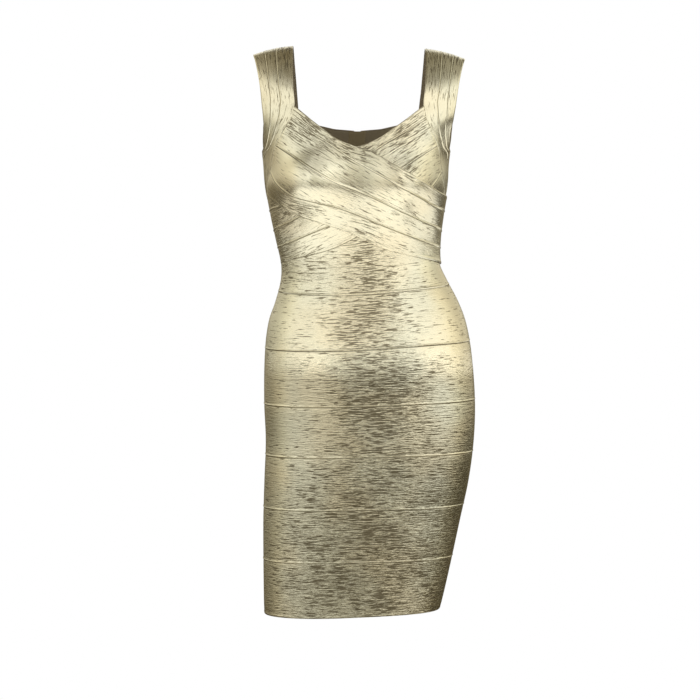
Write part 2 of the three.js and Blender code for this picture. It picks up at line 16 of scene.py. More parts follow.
import bmesh
import bpy
import numpy as np
from mathutils import Matrix, Vector

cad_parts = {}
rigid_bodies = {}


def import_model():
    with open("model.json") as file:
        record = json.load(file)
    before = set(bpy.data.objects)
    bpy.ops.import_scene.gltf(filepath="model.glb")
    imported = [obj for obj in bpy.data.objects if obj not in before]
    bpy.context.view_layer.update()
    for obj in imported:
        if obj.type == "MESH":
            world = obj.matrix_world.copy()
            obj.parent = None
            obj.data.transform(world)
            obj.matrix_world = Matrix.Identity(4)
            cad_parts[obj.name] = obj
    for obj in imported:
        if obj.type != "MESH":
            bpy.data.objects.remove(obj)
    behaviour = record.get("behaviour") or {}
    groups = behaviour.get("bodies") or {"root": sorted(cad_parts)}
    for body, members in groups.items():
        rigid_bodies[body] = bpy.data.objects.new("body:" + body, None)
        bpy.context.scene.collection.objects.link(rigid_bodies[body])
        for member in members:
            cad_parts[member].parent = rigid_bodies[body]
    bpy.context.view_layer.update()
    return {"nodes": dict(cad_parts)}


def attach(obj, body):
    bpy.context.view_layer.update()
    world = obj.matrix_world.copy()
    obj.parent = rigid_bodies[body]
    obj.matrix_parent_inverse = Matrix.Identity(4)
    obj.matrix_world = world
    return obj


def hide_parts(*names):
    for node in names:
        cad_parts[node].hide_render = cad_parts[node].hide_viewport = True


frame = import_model()
MM = 0.001

# %% [markdown]
# The figure under the cloth
#
# The bands lie closely on a general figure. Sculpting would give its form by hand, but
# then each band would need its own sculpting. Here a table of cross-sections gives it:
# for each height the sideways shift, the half width, the depth to the front and to the
# back, and how square the section is. Every band then asks the same function for its
# place, so neighbouring bands always meet.

# %% Cross-sections of the figure, in millimetres
Section = namedtuple("Section", "z shift half front back square")
FIGURE = [
    Section(-60, 0, 172, 72, 93, 2.4),
    Section(-100, -1, 163, 88, 99, 2.4),
    Section(-130, -3, 152, 96, 101.5, 2.35),
    Section(-160, -4.6, 144, 101, 101.5, 2.3),
    Section(-205, -4.4, 140.5, 102, 97, 2.25),
    Section(-250, -4.2, 133, 96, 88, 2.2),
    Section(-290, -2.3, 126.3, 88, 81, 2.2),
    Section(-325, 1.9, 122.8, 84, 78, 2.2),
    Section(-350, 7.3, 128.3, 87, 82, 2.2),
    Section(-383, 11.9, 141, 93, 92, 2.2),
    Section(-415, 12.6, 152.5, 99, 104, 2.25),
    Section(-460, 14, 159.7, 104, 117, 2.3),
    Section(-537, 16.3, 163.5, 105, 124, 2.3),
    Section(-600, 16.6, 161.4, 106, 116, 2.35),
    Section(-661, 11.6, 158.6, 105, 104, 2.4),
    Section(-723, 4.1, 152.9, 101, 95, 2.4),
    Section(-785, -2.5, 146.3, 96, 88, 2.4),
    Section(-847, -9.2, 139, 90, 82, 2.4),
    Section(-872, -12.4, 135, 88, 80, 2.4),
]
CUP_X, CUP_Z = 88, -204
CUP_PROUD, CUP_WIDE, CUP_TALL = 31, 51, 47

# %% Angles round the body
# 0 is the left side, and a quarter turn is the centre back.
BACK = math.pi / 2
RIGHT = math.pi
FRONT = 1.5 * math.pi
LEFT = 2 * math.pi
SIDE_SEAM = 0.1
WAIST_Z = -325

# %% Any height between two cross-sections
table = np.array(FIGURE[::-1], float)
rows = np.arange(len(table))
before, after = np.maximum(rows - 1, 0), np.minimum(rows + 1, rows[-1])
heights = table[:, 0]
table_slopes = (table[after] - table[before]) / (heights[after] - heights[before])[:, None]


def section_value(name, z):
    """One column of FIGURE at the heights z, by cubic interpolation."""
    column = Section._fields.index(name)
    values, slopes = table[:, column], table_slopes[:, column]
    k = np.clip(np.searchsorted(heights, z) - 1, 0, len(heights) - 2)
    step = heights[k + 1] - heights[k]
    t = np.clip((z - heights[k]) / step, 0, 1)
    value = (2 * t**3 - 3 * t**2 + 1) * values[k] + (3 * t**2 - 2 * t**3) * values[k + 1]
    return value + step * ((t**3 - 2 * t**2 + t) * slopes[k] + (t**3 - t**2) * slopes[k + 1])


# %% The surface of the figure
def skin(angle, z):
    """Points of the figure, in millimetres, at angles round it and heights."""
    angle, z = np.broadcast_arrays(np.asarray(angle, float), np.asarray(z, float))
    cos, sin = np.cos(angle), np.sin(angle)
    n = section_value("square", z)
    depth = np.where(sin < 0, section_value("front", z), section_value("back", z))
    radius = (np.abs(cos / section_value("half", z)) ** n + np.abs(sin / depth) ** n) ** (-1 / n)
    x = radius * cos
    swell = sum(
        np.exp(-(((x - side * CUP_X) / CUP_WIDE) ** 2) - ((z - CUP_Z) / CUP_TALL) ** 2)
        for side in (-1, 1)
    )
    y = radius * sin - CUP_PROUD * np.maximum(0, -sin) * swell
    return np.stack([x + section_value("shift", z), y, z], axis=-1)


def unit(vectors):
    return vectors / np.linalg.norm(vectors, axis=-1, keepdims=True)


def on_figure(angle, z, out=0.0):
    """Points that stand off the figure by a distance along its surface's normal."""
    across = skin(angle + 0.002, z) - skin(angle - 0.002, z)
    up = skin(angle, z + 0.2) - skin(angle, z - 0.2)
    return skin(angle, z) + unit(np.cross(across, up)) * np.asarray(out)[..., None]


# %% Side seams and places from the front
def side_seam(side):
    return RIGHT - SIDE_SEAM if side == RIGHT else LEFT + SIDE_SEAM


def angle_of(x, z, on_front):
    """The angle at which the front or the back of the figure has a given x."""
    low, high = (RIGHT, LEFT) if on_front else (0, RIGHT)
    for _ in range(40):
        middle = (low + high) / 2
        if (skin(middle, z)[0] < x) == on_front:
            low = middle
        else:
            high = middle
    return (low + high) / 2


waist = skin(np.linspace(0, LEFT, 200), WAIST_Z)
print("waist in mm:", round(np.linalg.norm(np.diff(waist, axis=0), axis=1).sum()))

# %% [markdown]
# The lines where bands meet
#
# A maker marks the seams on the figure first. The level seams below the waist tilt a
# little with the hips, so each is a height on the right, the left, the front and the
# back, joined by a smooth wave. The crossed bands follow slanting edges, which are
# smooth curves through a few points. The other side's edges are the same, mirrored.

# %% Level seams, in millimetres
Level = namedtuple("Level", "right left front back")
BAND_SEAMS = [
    Level(-368.4, -357.6, -370, -361),
    Level(-456.8, -444.4, -453.5, -450),
    Level(-543.3, -535.8, -539.5, -539.5),
    Level(-621.9, -616.4, -617, -619),
    Level(-703.2, -698.6, -698, -701),
    Level(-784.6, -779.2, -779, -782),
    Level(-869.1, -861.3, -865, -865),
]
LOWER_BACK_SEAM, UPPER_BACK_SEAM = -278, -193


def level_height(level):
    """A function that gives the height of a level seam at an angle."""
    sides = (level.left + level.right) / 2
    middle = (level.front + level.back) / 2

    def height(angle):
        tilt = (level.left - level.right) / 2 * np.cos(angle)
        pitch = (level.back - level.front) / 2 * np.sin(angle)
        return (sides + middle) / 2 + tilt + pitch + (sides - middle) / 2 * np.cos(2 * angle)

    return height


# %% Slanting edges of the crossed bands, in millimetres
# Each edge goes from the right strap to the left side seam, which it meets at a height.
CROSS_EDGES = [
    (
        [(-98.7, -84), (-66.7, -109.6), (-34.1, -133.8), (-10.9, -144.2), (7.8, -149.9)]
        + [(21.7, -154.5), (48.1, -170.8), (71.3, -184), (99.2, -200), (120.9, -214)],
        -225.5,
    ),
    (
        [(-104.6, -104.2), (-76, -123.5), (-45.9, -142.5), (-18.1, -161.5), (12, -178.5)]
        + [(41.4, -194.7), (65.1, -208.6), (92.8, -224.2), (112.5, -236.5)],
        -249,
    ),
    (
        [(-127.1, -144.5), (-99.2, -162.3), (-72.9, -180.2), (-38, -199.5), (-1.6, -213.5)]
        + [(30.5, -227.4), (63.1, -243.2), (104.6, -264)],
        -280,
    ),
    (
        [(-135.6, -184), (-120, -207), (-101.2, -219.5), (-64.6, -230), (-28.1, -239.6)]
        + [(2, -251), (30.5, -262.9), (61.2, -275.7), (109.6, -295.6)],
        -305,
    ),
    (
        [(-139.5, -222.7), (-117, -239.2), (-99.2, -248.5), (-57.7, -262), (-18.1, -275)]
        + [(5.9, -286.4), (25.6, -295.6), (45.4, -303), (84.9, -313.4), (121.5, -323.5)],
        -328,
    ),
]
EDGE_STARTS = [6, 5, 3, 1, 0]  # where each edge leaves the strap, in rows of STRAP_ON_FIGURE
MM_PER_RADIAN = 120  # lets an angle and a height weigh alike in a curve


# %% A smooth curve through points
def smooth_curve(points, steps=40):
    """A centripetal curve through points. It returns rows of the point count and a place."""
    p = np.array(points, float)
    p = np.vstack([2 * p[0] - p[1], p, 2 * p[-1] - p[-2]])
    t = np.linspace(0, 1, steps, endpoint=False)[:, None]
    rows = []
    for k in range(len(points) - 1):
        a, b, c, d = p[k : k + 4]
        ab, bc, cd = (max(np.linalg.norm(q - r), 1e-6) ** 0.5 for q, r in ((a, b), (b, c), (c, d)))
        m0 = bc * ((b - a) / ab - (c - a) / (ab + bc) + (c - b) / bc)
        m1 = bc * ((c - b) / bc - (d - b) / (bc + cd) + (d - c) / cd)
        place = b + m0 * t + (3 * (c - b) - 2 * m0 - m1) * t**2 + (2 * (b - c) + m0 + m1) * t**3
        rows.append(np.hstack([k + t, place]))
    rows.append(np.hstack([[len(points) - 1], p[-2]])[None, :])
    return np.vstack(rows)


# %% A slanting edge on the figure
class Edge:
    """A seam line on the figure, by the share of its length."""

    def __init__(self, points):
        rows = smooth_curve(points)[:, 1:]
        lengths = np.hstack([0, np.cumsum(np.linalg.norm(np.diff(rows, axis=0), axis=1))])
        self.shares = lengths / lengths[-1]
        self.angles, self.heights = rows[:, 0] / MM_PER_RADIAN, rows[:, 1]

    def at(self, share):
        return np.interp(share, self.shares, self.angles), np.interp(share, self.shares, self.heights)

    def height_at(self, angle):
        order = np.argsort(self.angles)
        return np.interp(angle, self.angles[order], self.heights[order])

    def mirrored(self):
        twin = object.__new__(Edge)
        twin.shares, twin.heights = self.shares, self.heights
        twin.angles = 2 * FRONT - self.angles
        return twin


def front_point(x, z):
    return angle_of(x, z, True) * MM_PER_RADIAN, z


edges = [
    Edge([front_point(x, z) for x, z in points] + [(side_seam(LEFT) * MM_PER_RADIAN, end)])
    for points, end in CROSS_EDGES
]
mirrored_edges = [edge.mirrored() for edge in edges]
print("slanting edges:", len(edges), "on each side")

# %% [markdown]
# The straps
#
# Each strap starts as a wedge at the side seam, lies on the figure beside the crossed
# bands, leaves it above the armhole, goes over the shoulder and ends at the back. Its
# lower half is a table of lines across it on the figure, and its upper half a table of
# its two edges in space. Between the rows a smooth blend gives the rest.

# %% Rows across the right strap, in millimetres
OnFigure = namedtuple("OnFigure", "seam_x seam_z edge_x edge_z")
AT_SIDE = None
STRAP_ON_FIGURE = [
    OnFigure(-139.5, -219, AT_SIDE, -225),
    OnFigure(-135.6, -184, AT_SIDE, -187),
    OnFigure(-131.9, -158.6, AT_SIDE, -161),
    OnFigure(-127.1, -144.5, -147, -147),
    OnFigure(-117, -125.9, -145.5, -126),
    OnFigure(-104.6, -104.2, -147, -101),
    OnFigure(-98.7, -84, -149.5, -76),
]
STRAP_FOOT = 0.01
STRAP_OVER_SHOULDER = [
    ((-100, -64, -58), (-152, -40, -54)),
    ((-101.5, -50, -34), (-156, -29, -33)),
    ((-102, -31, -11), (-160, -15, -17)),
    ((-102, -9, 4), (-163, -2, -9)),
    ((-101.5, 12, 7), (-163.5, 10, -8)),
    ((-101, 34, 0), (-162, 23, -13)),
    ((-100, 56, -19), (-158.5, 37, -28)),
    ((-98, 73, -46), (-154, 48, -50)),
    ((-96, 84, -76), (-150, 53, -78)),
]
STRAP_END_NECK_X, STRAP_END_ARM_X, STRAP_END_Z = -94, -147, -103
STRAP_CROWN = 2.5
STRAP_OUTWARD, STRAP_LEAN = -0.25, 90  # how the crown leans to the side and with the depth
SHOULDER_DROP, SHOULDER_FADE = 0.02, -90
STRAP_SPLITS = [0, 0.42, 0.71, 1]
SEAM_GAP = -0.2  # neighbours overlap a little, so no light comes through
MEAN_RADIUS = 140
HALF_GAP = SEAM_GAP / 2 / MEAN_RADIUS  # half the gap as an angle
ROWS_ON_FIGURE = len(STRAP_ON_FIGURE) - 1
ROWS_IN_ALL = ROWS_ON_FIGURE + len(STRAP_OVER_SHOULDER) + 1

# %% The strap's two edges on the figure
seam_rows = smooth_curve([front_point(row.seam_x, row.seam_z) for row in STRAP_ON_FIGURE])
arm_rows = smooth_curve(
    [
        ((side_seam(RIGHT) + HALF_GAP) * MM_PER_RADIAN, row.edge_z)
        if row.edge_x is AT_SIDE
        else front_point(row.edge_x, row.edge_z)
        for row in STRAP_ON_FIGURE
    ]
)


def on_rows(rows, count):
    """The angle and height on a curve of rows at a count of its points."""
    return tuple(
        np.interp(count, rows[:, 0], rows[:, k]) / scale for k, scale in ((1, MM_PER_RADIAN), (2, 1))
    )


# %% Any place on a strap
def strap_row(row, share):
    """Points of the right strap on one row, at shares across it."""
    if row <= ROWS_ON_FIGURE:
        seam_angle, seam_z = on_rows(seam_rows, row)
        arm_angle, arm_z = on_rows(arm_rows, row)
        start = seam_angle - 2 * HALF_GAP
        end = max(arm_angle, side_seam(RIGHT) + HALF_GAP)
        return skin(start + (end - start) * share, seam_z + (arm_z - seam_z) * share)
    if row == ROWS_IN_ALL:
        start = angle_of(STRAP_END_NECK_X, STRAP_END_Z, False)
        end = angle_of(STRAP_END_ARM_X, STRAP_END_Z, False)
        return skin(start + (end - start) * share, STRAP_END_Z)
    neck, arm = (np.array(p, float) for p in STRAP_OVER_SHOULDER[row - ROWS_ON_FIGURE - 1])
    lean = neck[1] / STRAP_LEAN
    out = unit(np.array([STRAP_OUTWARD, lean, 1 - abs(lean)]))
    bulge = STRAP_CROWN * 4 * share * (1 - share)
    return neck + (arm - neck) * share[:, None] + out * bulge[:, None]


def strap_points(along, share):
    """Points of the right strap between its rows."""
    if along <= ROWS_ON_FIGURE:
        return strap_row(along, share)
    k = min(int(along), ROWS_IN_ALL - 1)
    p, q, r, s = (strap_row(min(k + i, ROWS_IN_ALL), share) for i in (-1, 0, 1, 2))
    t = along - k
    return q + 0.5 * t * (r - p + t * (2 * p - 5 * q + 4 * r - s + t * (3 * (q - r) + s - p)))


def smooth_step(t):
    return t * t * (3 - 2 * t)


def to_side(points, side):
    """The right strap's points, or the same mirrored for the left, with the shoulders' tilt."""
    points = points.copy()
    if side == LEFT:
        points[..., 0] = 2 * section_value("shift", points[..., 2]) - points[..., 0]
    t = np.clip((points[..., 2] - SHOULDER_FADE) / -SHOULDER_FADE, 0, 1)
    points[..., 2] -= SHOULDER_DROP * points[..., 0] * smooth_step(t)
    return points


print("strap width over the shoulder in mm:", round(math.dist(*STRAP_OVER_SHOULDER[4]), 1))

# %% [markdown]
# A band of knit
#
# Each band is a grid whose points are laid on the figure. Cloth simulation would let
# it sag, but this cloth is stretched tight, so its place is known. What makes it look
# like foil knit is its relief: the long edges are drawn in by the stitching, the lower
# edge laps over the next band as a thin roll, and the foil lies in fine ridges along
# the band. The rows of the grid are closer together at the edges, where the rolls are.
# A Solidify modifier gives the knit its thickness and a Bevel rounds its cut edges.

# %% Relief of a band
WALL = 1.4
ROW_STEP, COLUMN_STEP = 1.25, 5.0
EDGE_ROWS = [0, 0.6, 1.2, 1.8, 2.5, 3.3]
PINCH, PINCH_REACH = 0.25, 2.2
ROLL, ROLL_PLACE, ROLL_WIDE = 0.8, 1.5, 0.85
DIP, DIP_WIDE = 0.05, 1.0
HEM_ROLL, HEM_PLACE, HEM_WIDE = 0.35, 2.2, 1.6
RIDGE, SLANTED_RIDGE = 0.07, 0.035
RIDGE_LONG, RIDGE_WIDE = 34, 2.3
FINER_ALONG, FINER_ACROSS = 2.7, 1.6  # the second layer of ridges is this much finer
LONG_SHARE, SHORT_SHARE = 0.7, 0.4
SWAY, SWAY_LONG, SWAY_WIDE = 2.2, 48, 30
CALM, CALM_REACH = 0.9, 2.5  # the ridges fade out beside the stitching
LATTICE_U, LATTICE_V = 67, 257  # the noise repeats after so many steps
BAND_OFFSET = 700  # keeps two bands' patterns apart
BUMP, SLANTED_BUMP = 0.8, 0.6
# The dark line in the groove at a seam is painted shade.
GROOVE_SHADE = 0.9  # how far the dark line at a seam reaches


def bell(distance, place, width):
    return np.exp(-(((distance - place) / width) ** 2))


def edge_relief(from_top, from_bottom, top, bottom):
    """Outward millimetres near a band's long edges, which are each a seam or free."""
    drawn = np.exp(-from_top / PINCH_REACH) + np.exp(-from_bottom / PINCH_REACH)
    relief = -PINCH * drawn
    for kind, distance in ((top, from_top), (bottom, from_bottom)):
        if kind == "free":
            relief += HEM_ROLL * bell(distance, HEM_PLACE, HEM_WIDE)
        elif kind == "lapping":
            relief += ROLL * bell(distance, ROLL_PLACE, ROLL_WIDE)
        else:
            relief -= DIP * bell(distance, 0, DIP_WIDE)
    return relief


# %% Ridges of the foil
def smooth_noise(x, y, seed):
    """Random values from -1 to 1 on a lattice of whole numbers, blended smoothly between."""
    lattice = np.random.default_rng(seed).uniform(-1, 1, (LATTICE_U, LATTICE_V))
    i, j = np.floor(x).astype(int), np.floor(y).astype(int)
    s, t = smooth_step(x - i), smooth_step(y - j)

    def corner(right, up):
        return lattice[(i + right) % LATTICE_U, (j + up) % LATTICE_V]

    near = corner(0, 0) * (1 - t) + corner(0, 1) * t
    far = corner(1, 0) * (1 - t) + corner(1, 1) * t
    return near * (1 - s) + far * s


def streak_heights(along, across, seed):
    """The foil's ridges, from about -1 to 1, at places in millimetres on a band."""
    across = across + SWAY * smooth_noise(along / SWAY_LONG, across / SWAY_WIDE, seed)
    u, v = along / RIDGE_LONG, across / RIDGE_WIDE
    long = smooth_noise(u, v, seed + 1)
    short = smooth_noise(u * FINER_ALONG, v * FINER_ACROSS, seed + 2)
    return LONG_SHARE * long + SHORT_SHARE * short


# %% Rows of the grid
def row_shares(width):
    """Shares across a band, closer together at its two edges."""
    inner = np.arange(EDGE_ROWS[-1] + ROW_STEP, width - EDGE_ROWS[-1] - ROW_STEP / 2, ROW_STEP)
    rows = np.hstack([EDGE_ROWS, inner, width - np.array(EDGE_ROWS[::-1])])
    return rows / width


def running_length(points, axis):
    steps = np.linalg.norm(np.diff(points, axis=axis), axis=-1)
    zero = np.zeros_like(np.take(steps, [0], axis=axis))
    return np.cumsum(np.concatenate([zero, steps], axis=axis), axis=axis)


# %% A new piece and its rounded edges
def new_piece(name, bm):
    mesh = bpy.data.meshes.new(name)
    bm.to_mesh(mesh)
    bm.free()
    piece = bpy.data.objects.new(name, mesh)
    bpy.context.scene.collection.objects.link(piece)
    return piece


def round_edges(piece, width, segments, least_degrees):
    """Rounds the edges of a piece that turn by more than an angle."""
    rounding = piece.modifiers.new("rounded edges", "BEVEL")
    rounding.width = width * MM
    rounding.segments = segments
    rounding.limit_method = "ANGLE"
    rounding.angle_limit = math.radians(least_degrees)


# %% A sheet as a mesh
Band = namedtuple("Band", "name place inside top bottom from_seam", defaults=(None,))
CUT_ROUNDING = 0.25  # of the thickness


def read_numbers(items, key, count, kind=np.float32):
    numbers = np.empty(len(items) * count, kind)
    items.foreach_get(key, numbers)
    return numbers.reshape(-1, count)


def lay_sheet(name, points, along_mm, across_mm, marks, thickness, facing):
    """A grid of points as a mesh with a UV map in metres and named marks, made solid inwards."""
    columns, rows = (count - 1 for count in along_mm.shape)
    bm = bmesh.new()
    bmesh.ops.create_grid(bm, x_segments=columns, y_segments=rows, size=0.5)
    piece = new_piece(name, bm)
    mesh = piece.data
    corners = read_numbers(mesh.vertices, "co", 3)
    i = np.rint((corners[:, 0] + 0.5) * columns).astype(int)
    j = np.rint((corners[:, 1] + 0.5) * rows).astype(int)
    mesh.vertices.foreach_set("co", (points[i, j] * MM).ravel())
    for key, values in marks.items():
        mesh.attributes.new(key, "FLOAT", "POINT").data.foreach_set("value", values[i, j])
    cut = np.stack([along_mm[i, j], across_mm[i, j]], axis=-1) * MM
    used = read_numbers(mesh.loops, "vertex_index", 1, np.int32)[:, 0]
    mesh.uv_layers.new(name="cut").data.foreach_set("uv", cut[used].ravel())
    mesh.polygons.foreach_set("use_smooth", np.ones(len(mesh.polygons), bool))
    if facing < 0:
        mesh.flip_normals()
    mesh.update()
    shell = piece.modifiers.new("thickness", "SOLIDIFY")
    shell.thickness = thickness * MM
    shell.offset = -1
    shell.material_offset = 1
    shell.material_offset_rim = 1
    round_edges(piece, CUT_ROUNDING * thickness, 2, 55)
    return piece


# %% [markdown]
# Where the foil is rubbed, and where shade is painted
#
# The foil cracks where the knit is stretched and rubbed: down the middle of the front,
# round the hem, at the neckline and over the shoulders. These places also lie in shade,
# and the dark knit in their cracks partly paints that shade. Weight painting would mark
# such places by hand. Here a short table of soft round spots does it, so every band can
# ask how worn and shaded it is at any point, and the marks go on across the seams.

# %% Rubbed places, which also paint shade, in millimetres
WearAndShade = namedtuple("WearAndShade", "x z wide tall amount")
WORN_AND_SHADED_PLACES = [
    WearAndShade(8, -330, 42, 66, 1.0),
    WearAndShade(-75, -335, 34, 26, 0.7),
    WearAndShade(14, -420, 44, 70, 1.0),
    WearAndShade(36, -540, 68, 100, 1.0),
    WearAndShade(10, -770, 140, 150, 1.0),
    WearAndShade(-75, -120, 45, 26, 0.9),
    WearAndShade(65, -120, 45, 26, 0.9),
    WearAndShade(0, -150, 50, 20, 0.9),
    WearAndShade(75, -178, 40, 16, 0.5),
    WearAndShade(-92, -240, 45, 14, 0.9),
    WearAndShade(-125, -300, 20, 60, 0.7),
    WearAndShade(0, 0, 200, 45, 0.7),
]


def wear_and_shade_at(points):
    """How far the foil gives way at points in millimetres, from 0 to 1: partly wear, partly painted
    shade.
    """
    x, z = points[..., 0], points[..., 2]
    kept = np.ones_like(x)
    for place in WORN_AND_SHADED_PLACES:
        near = np.exp(-(((x - place.x) / place.wide) ** 2) - ((z - place.z) / place.tall) ** 2)
        kept *= 1 - place.amount * near
    return 1 - kept


# %% A band of knit
made_bands = []


def build_band(band):
    rough = band.place(*np.meshgrid(np.linspace(0, 1, 30), np.linspace(0, 1, 6), indexing="ij"))
    width = running_length(rough, 1)[:, -1].mean()
    length = running_length(rough, 0)[-1].mean()
    columns = round(length / COLUMN_STEP)
    u, v = np.meshgrid(np.linspace(0, 1, columns + 1), row_shares(width), indexing="ij")
    points = band.place(u, v)
    normals = unit(np.cross(np.gradient(points, axis=0), np.gradient(points, axis=1)))
    facing = np.sign((normals * (points - np.array(band.inside))).sum())
    along = running_length(points, 0)
    from_top = running_length(points, 1)
    from_bottom = from_top[:, -1:] - from_top
    across = from_top if band.from_seam is None else band.from_seam(points, u)
    seed = len(made_bands)
    ridges = streak_heights(along, across, seed)
    calm = 1 - CALM * (np.exp(-from_top / CALM_REACH) + np.exp(-from_bottom / CALM_REACH))
    size = RIDGE if band.from_seam else SLANTED_RIDGE
    relief = edge_relief(from_top, from_bottom, band.top, band.bottom) + size * ridges * calm
    points = points + normals * (facing * relief)[..., None]

    along += BAND_OFFSET * seed
    rib = bell(from_bottom, ROLL_PLACE, ROLL_WIDE) * (band.bottom == "lapping")
    # The groove at a lapped edge is later painted dark as shade.
    groove_shade = np.exp(-from_top / GROOVE_SHADE) * (band.top == "lapped")
    marks = {
        "ridge": ridges,
        "edge": rib - groove_shade,
        "worn_and_shaded": wear_and_shade_at(points),
        "bump": np.full_like(ridges, BUMP if band.from_seam else SLANTED_BUMP),
    }
    piece = lay_sheet(f"{band.name}_knit", points, along, across, marks, WALL - 0.1, facing)
    made_bands.append(piece)
    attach(piece, "dress")
    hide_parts(band.name)


# %% [markdown]
# Bands round the body
#
# Below the bust seven bands ring the body. Each is one front panel and two back halves
# that meet at the zip. A band asks the two seams above and below it for their heights,
# so nothing is measured twice. The ridges of the foil are counted from the lower seam,
# which keeps them level where a band is cut to a slanting edge.

# %% Front and back bands
SLOT_HALF = 5
ZIP_END = -618.5
TUCK = 6


def level_band(name, sides, top_at, bottom_at, top, bottom):
    start, end = sides
    foot = bottom_at(BACK)

    def place(u, v):
        near = start(foot) + (end(foot) - start(foot)) * u
        high, low = top_at(near) - SEAM_GAP / 2, bottom_at(near) + SEAM_GAP / 2
        z = high + (low - high) * v
        return on_figure(start(z) + (end(z) - start(z)) * u, z)

    def from_seam(points, u):
        return points[..., 2] - bottom_at(start(foot) + (end(foot) - start(foot)) * u)

    return Band(name, place, (0, 0, foot), top, bottom, from_seam)


def front_side(side):
    return lambda z: side_seam(side) + (HALF_GAP if side == RIGHT else -HALF_GAP) + 0 * z


def back_sides(side, from_centre):
    def inner(z):
        return BACK - side * np.arcsin(from_centre / section_value("back", np.asarray(z, float)))

    def outer(z):
        return BACK - side * (BACK - SIDE_SEAM - HALF_GAP) + 0 * z

    return (outer, inner) if side > 0 else (inner, outer)


# %% Upper edges of the bands that aren't level seams
def under_bust(angle):
    tucked = edges[4].height_at(angle) + TUCK
    return np.minimum(tucked, mirrored_edges[4].height_at(angle) - SEAM_GAP)


def lower_back_seam(angle):
    return LOWER_BACK_SEAM + 0 * angle


def upper_back_seam(angle):
    return UPPER_BACK_SEAM + 0 * angle


# %% Every band round the body
levels = [level_height(level) for level in BAND_SEAMS]
front_sides = (front_side(RIGHT), front_side(LEFT))
bands = []
for i, bottom_at in enumerate(levels):
    bottom = "free" if i == len(levels) - 1 else "lapping"
    front_top = levels[i - 1] if i else under_bust
    back_top = levels[i - 1] if i else lower_back_seam
    bands.append(level_band(f"front_band_{i + 1}", front_sides, front_top, bottom_at, "lapped", bottom))
    zipped = (back_top(BACK) + bottom_at(BACK)) / 2 > ZIP_END
    for word, side in (("left", 1), ("right", -1)):
        sides = back_sides(side, SLOT_HALF if zipped else SEAM_GAP / 2)
        name = f"back_band_{i + 1}_{word}"
        bands.append(level_band(name, sides, back_top, bottom_at, "lapped", bottom))
for word, side in (("left", 1), ("right", -1)):
    sides = back_sides(side, SLOT_HALF)
    name = f"back_band_upper_{word}"
    bands.append(level_band(name, sides, upper_back_seam, lower_back_seam, "lapped", "lapping"))
print("bands round the body:", len(bands))

# %% [markdown]
# The yoke under the back neckline
#
# The topmost piece of the back has a shaped upper edge: it rises along the armhole,
# runs level under the strap and dips to the zip. The edge is a short table of points,
# and the piece fills the space between it and the level seam below.

# %% The back yoke
BACK_TOP = [(142, -141), (144.2, -122), (145, -103.4), (91.4, -103.4)]
BACK_TOP += [(62, -110.5), (30, -117.5), (-2.5, -120)]
UNDERARM_Z = -161

top_angles = np.array([SIDE_SEAM + HALF_GAP] + [angle_of(x, z, False) for x, z in BACK_TOP])
top_heights = np.array([UNDERARM_Z] + [z for _, z in BACK_TOP], float)
zip_side = back_sides(1, SLOT_HALF)[1]


def yoke(name, side):
    rows = np.arange(len(top_angles))

    def place(u, v):
        top_angle = np.interp(u * rows[-1], rows, top_angles)
        top_z = np.interp(u * rows[-1], rows, top_heights)
        progress = (top_angle - top_angles[0]) / (top_angles[-1] - top_angles[0])
        z = top_z + (UPPER_BACK_SEAM + SEAM_GAP / 2 - top_z) * v
        share = progress + ((progress + u) / 2 - progress) * v
        angle = top_angles[0] + (zip_side(z) - top_angles[0]) * share
        return on_figure(angle if side > 0 else math.pi - angle, z)

    def from_seam(points, u):
        return points[..., 2] - UPPER_BACK_SEAM

    return Band(name, place, (0, 0, UPPER_BACK_SEAM), "free", "lapping", from_seam)


bands += [yoke("back_yoke_left", 1), yoke("back_yoke_right", -1)]
print("yoke from height", UNDERARM_Z, "to", max(z for _, z in BACK_TOP), "mm")

# %% [markdown]
# The crossed bands
#
# Four bands run from each strap down to the opposite side seam. The set from the right
# strap lies on top, so it stands off by the thickness of the other set, and comes down
# to its level where there is nothing under it. Near the strap the bands are drawn to
# the line of its seam.

# %% Crossed bands
OVER_RISE, RISE_KEEP, RISE_FADE = 2.5, 10, 28
START_PULL = 6
BUST_MIDDLE = (0, 0, -200)


def rise_at(angle, z):
    above = z - mirrored_edges[0].height_at(angle)
    t = np.clip((above - RISE_KEEP) / RISE_FADE, 0, 1)
    return OVER_RISE * (1 - smooth_step(t))


def crossed_band(name, index, over):
    top, bottom = edges[index], edges[index + 1]

    def place(u, v):
        (top_angle, top_z), (bottom_angle, bottom_z) = top.at(u), bottom.at(u)
        (start_a, start_z), (end_a, end_z) = top.at(0), bottom.at(0)
        row = EDGE_STARTS[index] + (EDGE_STARTS[index + 1] - EDGE_STARTS[index]) * v
        seam_angle, seam_z = on_rows(seam_rows, row)
        pull = np.exp(-START_PULL * u)
        angle = top_angle + (bottom_angle - top_angle) * v
        angle = angle + pull * (seam_angle - start_a - (end_a - start_a) * v)
        angle = angle + HALF_GAP * (2 * (u == 0) - (u == 1))
        z = top_z + (bottom_z - top_z) * v + pull * (seam_z - start_z - (end_z - start_z) * v)
        z = z + SEAM_GAP / 2 * ((v == 1) * 1.0 - (v == 0))
        rise = rise_at(angle, z) if over else 0 * z
        return on_figure(angle if over else 2 * FRONT - angle, z, rise)

    top_kind = "free" if index == 0 else "lapped"
    bottom_kind = "free" if index == len(edges) - 2 else "lapping"
    return Band(name, place, BUST_MIDDLE, top_kind, bottom_kind)


for index in range(len(edges) - 1):
    bands.append(crossed_band(f"cross_over_{index + 1}", index, True))
    bands.append(crossed_band(f"cross_under_{index + 1}", index, False))
print("crossed bands:", 2 * (len(edges) - 1))

# %% [markdown]
# Bands of the straps
#
# A strap is three bands side by side, which share its rows at fixed places across it.
# The one at the neck and the one at the armhole have a free edge, and the middle one is
# sewn in between.

# %% Straps
UNDER_STRAP = (125, 10, -90)  # a place that the left strap goes over


